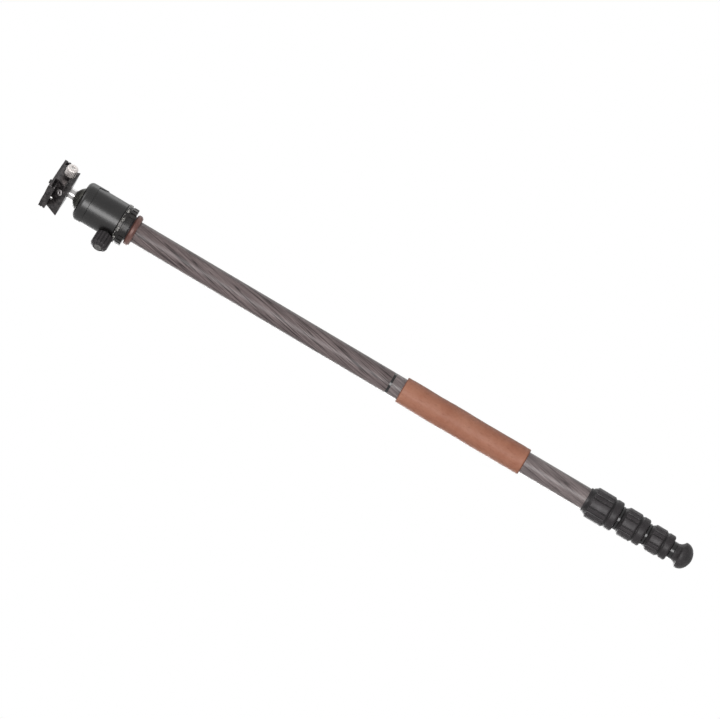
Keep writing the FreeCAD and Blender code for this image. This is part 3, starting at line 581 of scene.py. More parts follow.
@dataclass(frozen=True)
class TannedLeather:
    """Smooth tan leather with pores, faint creases and burnished edges."""

    name: str = "tanned_leather"
    pale: tuple = srgb(172, 121, 100)
    ground: tuple = srgb(157, 104, 84)
    dark: tuple = srgb(104, 64, 50)
    roughness: float = 0.47

    def make(self) -> bpy.types.Material:
        """Pores are small cells, creases are stretched noise, edges follow the piece's own edge mark."""
        sheet = NodeSheet(self.name)
        cloud = sheet.noise(38.0, 5.0, 0.62)
        drawn = sheet.noise(420.0, 4.0, 0.6, sheet.stretched((1, 1, 0.45)))
        pores = sheet.cells(1150.0)
        share = sheet.spread(cloud, 0.34, 0.68, 0.0, 1.0)
        colour = sheet.blended(share, self.ground, self.pale)
        colour = sheet.blended(sheet.spread(drawn, 0.55, 0.8, 0.0, 0.4), colour, self.dark)
        speck = sheet.spread(pores, 0.0, 0.28, 0.45, 0.0)
        colour = sheet.blended(speck, colour, self.dark)
        edge = sheet.add("Attribute", attribute_name="edge").outputs["Fac"]
        colour = sheet.blended(edge, colour, self.dark)
        rough = sheet.spread(drawn, 0.3, 0.7, self.roughness - 0.07, self.roughness + 0.1)
        normal = sheet.bumped(sheet.spread(pores, 0.0, 0.5, 0.0, 1.0), 0.10 * MM, 0.5)
        normal = sheet.bumped(drawn, 0.16 * MM, 0.45, normal)
        return sheet.finish(Base_Color=colour, Roughness=rough, Normal=normal, Specular_IOR_Level=0.2)


@dataclass(frozen=True)
class Anodised:
    """Anodised aluminium with a fine blasted grain."""

    name: str
    colour: tuple
    worn: tuple
    roughness: float = 0.36
    metallic: float = 0.55
    grain: float = 3200.0
    bump: float = 0.02
    mottle: float = 90.0

    def make(self) -> bpy.types.Material:
        """Grain is fine noise; colour drifts with cloudy noise towards a paler worn tone."""
        sheet = NodeSheet(self.name)
        cloud = sheet.noise(self.mottle, 4.0, 0.6)
        fine = sheet.noise(self.grain, 2.0, 0.6)
        share = sheet.spread(cloud, 0.4, 0.8, 0.0, 0.55)
        colour = sheet.blended(share, self.colour, self.worn)
        rough = sheet.spread(fine, 0.3, 0.7, self.roughness - 0.05, self.roughness + 0.07)
        normal = sheet.bumped(fine, self.bump * MM, 0.5)
        return sheet.finish(
            Base_Color=colour, Metallic=self.metallic, Roughness=rough, Normal=normal, Specular_IOR_Level=0.4
        )


@dataclass(frozen=True)
class PowderCoat:
    """Black coating of the housing: satin, with the slight orange peel of baked powder."""

    name: str = "powder_coat"
    ground: tuple = srgb(25, 24, 24)
    pale: tuple = srgb(38, 37, 36)
    roughness: float = 0.31

    def make(self) -> bpy.types.Material:
        """Orange peel is smooth noise of about a millimetre under a fine grain."""
        sheet = NodeSheet(self.name)
        peel = sheet.noise(950.0, 1.0, 0.4)
        fine = sheet.noise(4200.0, 2.0, 0.6)
        cloud = sheet.noise(70.0, 4.0, 0.6)
        colour = sheet.blended(sheet.spread(cloud, 0.4, 0.75, 0.0, 0.6), self.ground, self.pale)
        rough = sheet.spread(fine, 0.3, 0.7, self.roughness - 0.04, self.roughness + 0.06)
        normal = sheet.bumped(peel, 0.035 * MM, 0.4)
        normal = sheet.bumped(fine, 0.015 * MM, 0.4, normal)
        return sheet.finish(Base_Color=colour, Roughness=rough, Normal=normal, Specular_IOR_Level=0.46)


@dataclass(frozen=True)
class PolishedBlack:
    """Glossy black moulding with fine rubbing marks."""

    name: str = "polished_black"
    ground: tuple = srgb(15, 14, 15)
    rubbed: tuple = srgb(42, 40, 41)
    roughness: float = 0.2

    def make(self) -> bpy.types.Material:
        """Marks are thin stretched noise that changes colour and roughness a little."""
        sheet = NodeSheet(self.name)
        marks = sheet.noise(700.0, 3.0, 0.6, sheet.stretched((1, 1, 6.0)))
        colour = sheet.blended(sheet.spread(marks, 0.5, 0.8, 0.0, 0.5), self.ground, self.rubbed)
        rough = sheet.spread(marks, 0.35, 0.7, self.roughness - 0.03, self.roughness + 0.1)
        normal = sheet.bumped(marks, 0.008 * MM, 0.3)
        sheet.finish(Coat_Weight=0.3, Coat_Roughness=0.08)
        return sheet.finish(Base_Color=colour, Roughness=rough, Normal=normal, Specular_IOR_Level=0.3)


@dataclass(frozen=True)
class TurnedMetal:
    """Bare metal with the fine lines that a lathe leaves round an axis."""

    name: str
    colour: tuple
    shade: tuple
    roughness: float
    lines: float = 5200.0
    metallic: float = 1.0
    along: tuple = (0.0, 0.0, 1.0)
    bump: float = 0.006

    def make(self) -> bpy.types.Material:
        """Lines are noise on the place along the axis; cloudy noise tints the metal."""
        sheet = NodeSheet(self.name)
        axis = sheet.add("VectorMath", operation="DOT_PRODUCT")
        sheet.feed(axis, 0, sheet.place)
        sheet.feed(axis, 1, self.along)
        rings = sheet.add("TexNoise", noise_dimensions="1D", Scale=self.lines, Detail=3.0)
        sheet.feed(rings, "W", axis.outputs["Value"])
        cloud = sheet.noise(160.0, 3.0, 0.6)
        colour = sheet.blended(sheet.spread(cloud, 0.35, 0.75, 0.0, 1.0), self.colour, self.shade)
        rough = sheet.spread(rings.outputs[0], 0.3, 0.7, self.roughness - 0.03, self.roughness + 0.06)
        normal = sheet.bumped(rings.outputs[0], self.bump * MM, 0.4)
        return sheet.finish(Base_Color=colour, Metallic=self.metallic, Roughness=rough, Normal=normal)


@dataclass(frozen=True)
class PlainMoulding:
    """Plain plastic, foam or paint with a faint mottled skin."""

    name: str
    ground: tuple
    shade: tuple
    roughness: float = 0.5
    grain: float = 1800.0
    bump: float = 0.03

    def make(self) -> bpy.types.Material:
        """Mottling is cloudy noise over fine cells."""
        sheet = NodeSheet(self.name)
        cloud = sheet.noise(self.grain / 8, 3.0, 0.6)
        cells = sheet.cells(self.grain)
        colour = sheet.blended(sheet.spread(cloud, 0.35, 0.7, 0.0, 1.0), self.ground, self.shade)
        rough = sheet.spread(cloud, 0.3, 0.7, self.roughness - 0.06, self.roughness + 0.06)
        normal = sheet.bumped(cells, self.bump * MM, 0.4)
        return sheet.finish(Base_Color=colour, Roughness=rough, Normal=normal)


@dataclass(frozen=True)
class TintedLiquid:
    """Clear yellow-green liquid of the bubble level."""

    name: str = "tinted_liquid"
    tint: tuple = srgb(206, 226, 96)
    deep: tuple = srgb(188, 214, 84)

    def make(self) -> bpy.types.Material:
        """The tint drifts slightly with cloudy noise; the surface is clear and smooth."""
        sheet = NodeSheet(self.name)
        cloud = sheet.noise(300.0, 2.0, 0.5)
        colour = sheet.blended(sheet.spread(cloud, 0.3, 0.7, 0.0, 1.0), self.tint, self.deep)
        rough = sheet.spread(cloud, 0.3, 0.7, 0.02, 0.06)
        return sheet.finish(Base_Color=colour, Roughness=rough, IOR=1.45, Transmission_Weight=0.75)


class Wardrobe:
    """Every finish, made once, and which frame nodes wear it."""

    def __init__(self) -> None:
        """Makes the finishes."""
        finishes = [
            CarbonLaminate(),
            # Painted light: the leg tubes wear a paler copy of the column's carbon with weaker lines,
            # standing in for stronger light on them.
            CarbonLaminate("lit_leg_laminate", srgb(152, 140, 139), srgb(84, 76, 76), roughness=0.3, lines=0.55),
            MouldedRubber(),
            # ribbed_rubber: pads and end bands are paler, partly as wear and partly as painted highlight,
            # with painted shade in the valleys between pads.
            MouldedRubber("ribbed_rubber", srgb(27, 25, 26), srgb(66, 62, 64), 0.4, worn_attribute=True),
            TannedLeather(),
            PowderCoat(),
            PolishedBlack(),
            Anodised("black_anodised", srgb(34, 33, 33), srgb(74, 71, 69), 0.34, 0.35),
            Anodised("clamp_anodised", srgb(36, 34, 35), srgb(118, 111, 111), 0.3, 0.4, 2600.0, 0.03, 210.0),
            Anodised("copper_anodised", srgb(100, 69, 63), srgb(128, 94, 87), 0.44, 0.15, 2400.0, 0.03),
            TurnedMetal("dark_ball_finish", srgb(78, 78, 74), srgb(98, 97, 92), 0.42, 2600.0, 0.6),
            TurnedMetal("bright_steel", (0.44, 0.43, 0.425), (0.38, 0.37, 0.365), 0.16),
            TurnedMetal("bright_knob", (0.66, 0.62, 0.60), (0.56, 0.52, 0.50), 0.30),
            TurnedMetal("blackened_steel", (0.075, 0.072, 0.07), (0.05, 0.048, 0.047), 0.34),
            TurnedMetal("plain_steel", (0.52, 0.51, 0.50), (0.42, 0.41, 0.40), 0.32),
            TurnedMetal("grey_steel", (0.5, 0.47, 0.47), (0.38, 0.36, 0.36), 0.44),
            PlainMoulding("white_acetal", srgb(228, 226, 218), srgb(214, 211, 203), 0.42),
            PlainMoulding("grip_foam_skin", srgb(40, 38, 37), srgb(56, 54, 52), 0.8, 1400.0, 0.2),
            PlainMoulding("scale_paint", srgb(226, 224, 218), srgb(206, 204, 198), 0.55),
            PlainMoulding("waxed_thread", srgb(150, 92, 64), srgb(112, 64, 46), 0.6, 5200.0, 0.08),
            PlainMoulding("knob_cap_skin", srgb(70, 68, 67), srgb(96, 93, 91), 0.34),
            TintedLiquid(),
        ]
        self.made = {finish.name: finish.make() for finish in finishes}

    def put_on(self, piece: bpy.types.Object, finish: str) -> None:
        """Gives a piece one finish.

        Args:
            piece: the piece or frame node.
            finish: the finish's name.
        """
        piece.data.materials.clear()
        piece.data.materials.append(self.made[finish])

    def place(self, piece: bpy.types.Object, finish: str, body: str, slot: Slot, *nodes: str) -> None:
        """Gives a piece its finish, ties it to its body, and keeps a line of it in the log.

        Args:
            piece: the piece.
            finish: the finish's name.
            body: body it rides on.
            slot: the record's material slot; not used.
            *nodes: frame nodes that it stands for.
        """
        self.put_on(piece, finish)
        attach(piece, body)
        if nodes:
            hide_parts(*nodes)
        log.info("piece %s rides on %s with %d faces", piece.name, body, len(piece.data.polygons))


@dataclass
class CarbonTube:
    """One carbon tube that stands for its frame node."""

    node: str
    body: str
    radius: float
    # By default the tube wears the paler carbon copy, which is painted light.
    finish: str = "lit_leg_laminate"
    wall: float = 1.0 * MM
    bevel: float = 0.25 * MM

    def build(self, wardrobe: Wardrobe) -> None:
        """Carries a rounded rectangle of the wall round the axis.

        Args:
            wardrobe: the finishes.
        """
        low, high = extent(self.node)
        inner = self.radius - self.wall
        corners = [(inner, low[2]), (self.radius, low[2], self.bevel), (self.radius, high[2], self.bevel)]
        corners += [(inner, high[2]), (inner, low[2])]
        profile = rounded_profile(corners, 4 * MM)[:-1]
        piece = turned_surface(f"carbon_{self.node}", profile, 128, True)
        wardrobe.place(piece, self.finish, self.body, Slot.CARBON, self.node)


@dataclass
class TwistLock:
    """Ribbed rubber cover of a twist lock: barrel with raised pads, groove and smooth end band.

    The sizes broad, narrow, gap and pad_edge are degrees round the barrel.
    """

    number: int
    facing: float = math.radians(-102.0)
    periods: int = 5
    broad: float = 31.0
    narrow: float = 14.0
    gap: float = 4.33
    rise: float = 0.95 * MM
    shoulder: float = 5.0 * MM
    band: float = 10.0 * MM
    channel: float = 1.9 * MM
    wall: float = 1.35 * MM
    core: float = 2.35 * MM
    tail_gap: float = 3.45 * MM
    neck_gap: float = 1.5 * MM
    pad_edge: float = 0.9
    segments: int = 480

    def pads_round(self, angle: np.ndarray) -> np.ndarray:
        """Share of a pad's height by angle: one broad and two narrow pads repeat round the barrel.

        Args:
            angle: angle in radians.

        Returns:
            Values from 0 between pads to 1 on them.
        """
        period = 360.0 / self.periods
        place = (np.degrees(angle - self.facing) + self.broad / 2) % period
        edges = [0.0, self.broad, self.broad + self.gap, self.broad + self.gap + self.narrow]
        edges += [edges[-1] + self.gap, edges[-1] + self.gap + self.narrow]
        total = np.zeros_like(place)
        for start, end in zip(edges[0::2], edges[1::2]):
            risen = smooth_step(place, start, start + self.pad_edge)
            total += risen * smooth_step(place, end, end - self.pad_edge)
        return total

    def profile(self) -> tuple[np.ndarray, float, float]:
        """Closed outline of the cover, from the frame node's box.

        Returns:
            The outline, and the heights between which the pads stand.
        """
        low, high = extent(f"lock_rubber_{self.number}")
        widest = high[0]
        bottom, top = low[2], high[2]
        tube = extent(f"leg_tube_{self.number + 1}")[1][0]
        neck = extent(f"leg_tube_{self.number}")[1][0] + self.neck_gap
        core, tail = widest - self.core, tube + self.tail_gap
        valley, channel = widest - self.rise, widest - self.channel
        groove, shoulder = bottom + self.band + 1.0 * MM, top - self.shoulder
        corners = [
            (tail, bottom),
            (widest - 0.9 * MM, bottom, 3.0 * MM),
            (widest - 0.75 * MM, groove - 2.2 * MM, 1.4 * MM),
            (channel, groove - 0.3 * MM, 0.7 * MM),
            (channel, groove + 0.5 * MM, 0.5 * MM),
            (valley, groove + 1.4 * MM, 0.8 * MM),
            (valley, shoulder, 2.4 * MM),
            (neck + 1.0 * MM, top, 0.7 * MM),
            (neck, top),
            (neck, shoulder),
            (core, shoulder),
            (core, bottom + self.wall),
            (tail, bottom + self.wall),
            (tail, bottom),
        ]
        return rounded_profile(corners, 0.3 * MM)[:-1], groove + 1.6 * MM, shoulder

    def build(self, wardrobe: Wardrobe) -> None:
        """Turns the outline and lifts the pads: r = outline + rise * round share * length share.

        Args:
            wardrobe: the finishes.
        """
        outline, low, high = self.profile()
        widest = extent(f"lock_rubber_{self.number}")[1][0]
        skin = widest - 2.2 * MM

        def pad_share(angle: np.ndarray, height: np.ndarray) -> np.ndarray:
            length = smooth_step(height, low, low + 1.0 * MM)
            length = length * smooth_step(height, high + 1.8 * MM, high + 0.2 * MM)
            return self.pads_round(angle) * length

        def shape(angle: np.ndarray, radius: np.ndarray, height: np.ndarray) -> np.ndarray:
            lifted = radius + self.rise * pad_share(angle, height)
            return np.where(radius > skin, np.minimum(lifted, widest), radius)

        def marks(angle: np.ndarray, height: np.ndarray) -> dict:
            # Painted light: pads and the end band get the raised mark, which makes them paler, partly as
            # wear and partly as painted highlight; the valleys between pads stay dark as painted shade.
            on_band = 0.6 * smooth_step(height, low - 2.6 * MM, low - 3.4 * MM)
            return {"raised": pad_share(angle, height * np.ones_like(angle)) + on_band}

        name = f"lock_cover_{self.number}"
        piece = turned_surface(name, outline, self.segments, True, shape, marks)
        body, node = f"lock_{self.number}", f"lock_rubber_{self.number}"
        wardrobe.place(piece, "ribbed_rubber", body, Slot.RUBBER, node)


@dataclass
class RoundFoot:
    """Mushroom-shaped rubber foot with shallow tread rings under it."""

    radius: float = 16.9 * MM
    dome: float = 14.1 * MM
    height: float = 23.8 * MM
    waist: float = 10.8 * MM
    bore: float = 4.7 * MM
    bore_depth: float = 14.0 * MM
    tread_pitch: float = 2.6 * MM
    tread_depth: float = 0.45 * MM
    tread_start: float = 1.4 * MM
    tread_end: float = 13.4 * MM

    def profile(self) -> np.ndarray:
        """Outline: a quarter ellipse, a short rim, a hollow curve up to the waist, and the stud's bore.

        The underside is r = R sin t, z = D (1 - cos t), raised by tread_depth where the rings are cut.
        """
        t = np.linspace(0, math.pi / 2, 90)
        sole = np.stack([self.radius * np.sin(t), self.dome * (1 - np.cos(t))], 1)
        ring = 0.5 - 0.5 * np.cos(TURN * (sole[:, 0] - self.tread_start) / self.tread_pitch)
        ring = ring ** 4 * smooth_step(sole[:, 0], self.tread_start, 3.0 * MM)
        ring = ring * smooth_step(sole[:, 0], self.tread_end, 12.0 * MM)
        sole[:, 1] += self.tread_depth * ring
        edge = self.radius - 0.25 * MM
        rim = np.array([[self.radius, self.dome + 0.6 * MM], [edge, self.dome + 1.6 * MM]])
        s = np.linspace(0, 1, 30)[:, None]
        start = np.array([self.radius - 0.6 * MM, self.dome + 2.1 * MM])
        end = np.array([self.waist, self.height])
        pull = np.array([self.waist + 0.9 * MM, self.height - 5.4 * MM])
        flare = (1 - s) ** 2 * start + 2 * s * (1 - s) * pull + s ** 2 * end
        floor = self.height - self.bore_depth
        close = np.array([[self.bore, self.height], [self.bore, floor], [0.0, floor]])
        return np.concatenate([sole, rim, flare, close])

    def build(self, wardrobe: Wardrobe) -> None:
        """Turns the outline.

        Args:
            wardrobe: the finishes.
        """
        piece = turned_surface("foot_rubber", self.profile(), 160)
        wardrobe.place(piece, "moulded_rubber", "section_4", Slot.RUBBER, "rubber_foot")


@dataclass
class HandGrip:
    """Leather sleeve over foam, sewn along the side that faces away from the camera."""

    seam: float = math.radians(78.0)
    tube: float = 14.0 * MM
    turned_in: float = 1.7 * MM
    seam_width: float = 1.3 * MM
    seam_depth: float = 0.55 * MM
    stitch_pitch: float = 4.6 * MM
    stitch_reach: float = 2.3 * MM
    thread: float = 0.36 * MM
    pucker: float = 0.10 * MM
    slow_unevenness: float = 0.13 * MM
    fine_unevenness: float = 0.05 * MM
    pressed: float = 0.22 * MM
    segments: int = 360

    def surface_radius(self, angle: np.ndarray, radius: np.ndarray, height: np.ndarray) -> np.ndarray:
        """Outer radius: outline plus unevenness and pucker, minus the seam's groove and a ring at each end.

        Args:
            angle: angle in radians.
            radius: the outline's radius.
            height: height in metres.

        Returns:
            The leather's radius.
        """
        low, high = extent("leather_grip")
        bottom, top = low[2], high[2]
        outer = high[0]
        away = (angle - self.seam + math.pi) % TURN - math.pi
        groove = self.seam_depth * np.exp(-((away * outer / self.seam_width) ** 2))
        pucker = self.pucker * np.cos(TURN * (height - bottom) / self.stitch_pitch)
        pucker = pucker * np.exp(-((away * outer / (3 * self.stitch_reach)) ** 2))
        uneven = self.slow_unevenness * ripple_noise(angle, height / (16 * MM), 11)
        fine = self.fine_unevenness * ripple_noise(angle * 3, height / (4 * MM), 23, 14)
        end = np.minimum(height - bottom, top - height)
        pressed = self.pressed * np.exp(-((end - 5.5 * MM) / (1.6 * MM)) ** 2)
        changed = radius - groove + pucker + uneven + fine - pressed
        return np.where(radius > self.tube + 0.9 * MM, changed, radius)

    def stitches(self) -> list[Form]:
        """Crossing threads over the seam, each a capsule to the other side and up by half a pitch."""
        low, high = extent("leather_grip")
        outer = high[0] + 0.05 * MM
        reach = self.stitch_reach / outer
        count = int((high[2] - low[2] - 12 * MM) / self.stitch_pitch)
        forms = []
        for i in range(count):
            z = low[2] + 6 * MM + i * self.stitch_pitch
            for side in (-1, 1):
                a, b = self.seam - side * reach, self.seam + side * reach
                start = np.array([outer * math.cos(a), outer * math.sin(a), z])
                end = np.array([outer * math.cos(b), outer * math.sin(b), z + self.stitch_pitch * 0.55])
                forms.append(capsule(start, end, self.thread))
        return forms

    def build(self, wardrobe: Wardrobe) -> None:
        """Turns the sleeve's outline, with its edges turned in, and lays the stitches on it.

        Args:
            wardrobe: the finishes.
        """
        low, high = extent("leather_grip")
        bottom, top, outer = low[2], high[2], high[0] - 0.1 * MM
        inside, over_foam = self.tube + 0.02 * MM, self.tube + 1.62 * MM
        corners = [(inside, bottom), (outer, bottom, 1.5 * MM), (outer, top, 1.5 * MM)]
        corners += [(inside, top), (inside, top - self.turned_in)]
        corners += [(over_foam, top - self.turned_in), (over_foam, bottom + self.turned_in)]
        corners += [(inside, bottom + self.turned_in), (inside, bottom)]
        outline = rounded_profile(corners, 0.5 * MM)[:-1]

        def marks(angle: np.ndarray, height: np.ndarray) -> dict:
            end = np.minimum(height - bottom, top - height) * np.ones_like(angle)
            away = np.abs((angle - self.seam + math.pi) % TURN - math.pi) * outer
            at_end = 0.75 * smooth_step(end, 1.6 * MM, 0.6 * MM)
            at_seam = 0.7 * smooth_step(away, 1.6 * MM, 0.4 * MM) * np.ones_like(end)
            return {"edge": np.maximum(at_end, at_seam)}

        piece = turned_surface("leather_sleeve", outline, self.segments, True, self.surface_radius, marks)
        wardrobe.place(piece, "tanned_leather", "column", Slot.LEATHER, "leather_grip")
        threads = merged("grip_stitches", self.stitches())
        wardrobe.place(threads, "waxed_thread", "column", Slot.LEATHER)


@dataclass
class RibbedKnob:
    """Rubbered or metal knob with rounded ribs along its side and a domed end with a recess."""

    name: str
    node: str
    body: str
    slot: Slot
    finish: str
    axis: Axis
    height: float
    start: float
    end: float
    radius: float
    bore: float
    ribs: int
    rib_depth: float
    dome: float
    recess_radius: float = 0.0
    recess_depth: float = 0.0
    collar_radius: float = 0.0
    collar_length: float = 0.0

    def outline(self) -> np.ndarray:
        """Closed outline: inner face or collar, side, domed end and bore."""
        corners = [(self.bore, self.start), (self.radius - 1.2 * MM, self.start)]
        corners += [(self.radius, self.start + 1.3 * MM, 0.8 * MM)]
        if self.collar_length > 0:
            foot = self.start - self.collar_length
            corners[:1] = [(self.bore, foot), (self.collar_radius, foot), (self.collar_radius, self.start)]
        corners += [(self.radius, self.end - self.dome, self.dome * 0.9)]
        lip = max(self.recess_radius, self.bore + (self.radius - self.bore) * 0.5)
        corners += [(lip, self.end, 0.5 * MM)]
        if self.recess_radius > 0:
            floor = self.end - self.recess_depth
            corners += [(self.recess_radius, self.end - 0.3 * MM)]
            corners += [(self.recess_radius, floor), (self.bore, floor)]
        else:
            corners += [(self.bore, self.end)]
        corners += [corners[0]]
        return rounded_profile(corners, 0.3 * MM)[:-1]

    def build(self, wardrobe: Wardrobe) -> None:
        """Ribs: r = outline - depth * (1 - |cos(n a / 2)|^0.6), faded out towards both ends of the side.

        Args:
            wardrobe: the finishes.
        """

        def shape(angle: np.ndarray, radius: np.ndarray, height: np.ndarray) -> np.ndarray:
            valley = 1 - np.abs(np.cos(self.ribs * angle / 2)) ** 0.6
            side = smooth_step(radius, self.radius - 2.6 * MM, self.radius - 0.6 * MM)
            fade = smooth_step(height, self.start, self.start + 1.6 * MM)
            fade = fade * smooth_step(height, self.end, self.end - self.dome)
            return radius - self.rib_depth * valley * side * fade

        def marks(angle: np.ndarray, height: np.ndarray) -> dict:
            # Rib crests get the raised mark: partly wear, partly painted highlight, with painted shade left
            # in the grooves.
            return {"raised": np.abs(np.cos(self.ribs * angle / 2)) ** 2 * np.ones_like(height)}

        place = lying(self.axis.radians, self.height)
        piece = turned_surface(self.name, self.outline(), self.ribs * 16, True, shape, marks, place)
        wardrobe.place(piece, self.finish, self.body, self.slot, self.node)


@dataclass
class PanScale:
    """White degree marks and plain numbers on the scale ring, and one index line on the housing."""

    marks: int = 72
    width: float = 0.26 * MM
    proud: float = 0.06 * MM
    lengths: tuple = (0.8 * MM, 1.1 * MM, 1.3 * MM)
    digit_width: float = 1.25 * MM
    digit_height: float = 1.9 * MM
    digit_pitch: float = 1.75 * MM
    stroke: float = 0.36 * MM
    sunk: float = 0.3 * MM
    housing_radius: float = 25.0 * MM
    index_turn: float = math.radians(30)
    index_width: float = 0.6 * MM
    number_step: int = 30
    strokes: tuple = (
        "abcdef", "bc", "abged", "abgcd", "fgbc", "afgcd", "afgedc", "abc", "abcdefg", "abcdfg",
    )

    def bar(self, angle: float, radius: float, low: float, high: float, width: float) -> Form:
        """One mark: a thin block let into the wall at an angle.

        Args:
            angle: place round the ring in radians.
            radius: the wall's radius.
            low: lower end.
            high: upper end.
            width: width round the ring.

        Returns:
            Points and faces.
        """
        turn = np.array(Matrix.Rotation(angle, 4, "Z"))
        corner_low = (radius - self.sunk, -width / 2, low)
        return plate_block(corner_low, (radius + self.proud, width / 2, high), turn)

    def digit(self, digit: int, angle: float, radius: float, low: float) -> list[Form]:
        """One digit from up to seven straight strokes, lettered clockwise from the top one, the middle last.

        Args:
            digit: the digit.
            angle: place of its left side round the ring in radians.
            radius: the wall's radius.
            low: its lower edge.

        Returns:
            Points and faces of each stroke.
        """
        w, h, t = self.digit_width, self.digit_height, self.stroke
        middle = (h - t) / 2
        places = {
            "a": (0, w, h - t, h),
            "b": (w - t, w, middle, h),
            "c": (w - t, w, 0, middle + t),
            "d": (0, w, 0, t),
            "e": (0, t, 0, middle + t),
            "f": (0, t, middle, h),
            "g": (0, w, middle, middle + t),
        }
        turn = np.array(Matrix.Rotation(angle, 4, "Z"))
        forms = []
        for name in self.strokes[digit]:
            u0, u1, v0, v1 = places[name]
            corner_low = (radius - self.sunk, u0, low + v0)
            forms.append(plate_block(corner_low, (radius + self.proud, u1, low + v1), turn))
        return forms

    def numbers(self, radius: float, low: float) -> list[Form]:
        """Degrees in plain digits, each number centred on its mark.

        Args:
            radius: the wall's radius.
            low: the numbers' lower edge.

        Returns:
            Points and faces of all strokes.
        """
        forms = []
        for value in range(0, 360, self.number_step):
            text = str(value)
            width = self.digit_pitch * (len(text) - 1) + self.digit_width
            for i, character in enumerate(text):
                angle = math.radians(value) + (i * self.digit_pitch - width / 2) / radius
                forms += self.digit(int(character), angle, radius, low)
        return forms

    def build(self, wardrobe: Wardrobe) -> None:
        """Places a mark every few degrees, longer at every third and sixth, and the numbers under them.

        Args:
            wardrobe: the finishes.
        """
        low, high = extent("scale_ring")
        radius, top = high[0], high[2] - 0.7 * MM
        forms = []
        for i in range(self.marks):
            length = self.lengths[(i % 3 == 0) + (i % 6 == 0)]
            forms.append(self.bar(TURN * i / self.marks, radius, top - length, top, self.width))
        forms += self.numbers(radius, low[2] + 0.85 * MM)
        ring = merged("scale_marks", forms)
        wardrobe.place(ring, "scale_paint", "column", Slot.BLACK_ANODISED)
        base = extent("ball_housing")[0][2]
        bottom, top = base + 0.9 * MM, base + 4.0 * MM
        line = self.bar(self.index_turn, self.housing_radius, bottom, top, self.index_width)
        wardrobe.place(merged("housing_index", [line]), "scale_paint", "housing", Slot.BLACK_ANODISED)


@dataclass
class BallAndStem:
    """Turned ball and the polished stem that carries the clamp."""

    centre: float = 852.8 * MM
    ball: float = 18.0 * MM
    stem: float = 7.0 * MM
    gap: float = 0.05 * MM
    neck: float = 0.35 * MM
    short: float = 0.02 * MM
    bore: float = 3.05 * MM
    bore_depth: float = 6.6 * MM

    def build(self, wardrobe: Wardrobe) -> None:
        """Ball: r = R sin t, z = centre - R cos t. Stem: a straight bar with a neck between two rings.

        Args:
            wardrobe: the finishes.
        """
        t = np.linspace(0, math.pi, 121)
        sphere = np.stack([self.ball * np.sin(t), self.centre - self.ball * np.cos(t)], 1)
        sphere[0, 0] = sphere[-1, 0] = 0.0
        ball = turned_surface("turned_ball", sphere, 192)
        wardrobe.place(ball, "dark_ball_finish", "ball", Slot.DARK_BALL, "ball")
        top = extent("stem")[1][2]
        seat = self.ball + self.gap
        s = np.linspace(0, 1, 24)
        cap_radius = self.stem * s
        cap = np.stack([cap_radius, self.centre + np.sqrt(seat ** 2 - cap_radius ** 2)], 1)
        foot = cap[-1, 1]
        waist, end = self.stem - self.neck, top - self.short
        corners = [
            (self.stem, foot),
            (self.stem, foot + 0.9 * MM, 0.3 * MM),
            (waist, foot + 1.3 * MM, 0.4 * MM),
            (waist, top - 1.9 * MM, 0.4 * MM),
            (self.stem, top - 1.5 * MM, 0.3 * MM),
            (self.stem, end, 0.3 * MM),
            (self.bore, end),
            (self.bore, top - self.bore_depth),
            (0.0, top - self.bore_depth),
        ]
        profile = np.concatenate([cap[:-1], rounded_profile(corners, 0.3 * MM)])
        stem = turned_surface("polished_stem", profile, 128)
        wardrobe.place(stem, "bright_steel", "stem", Slot.BRIGHT_STEEL, "stem")


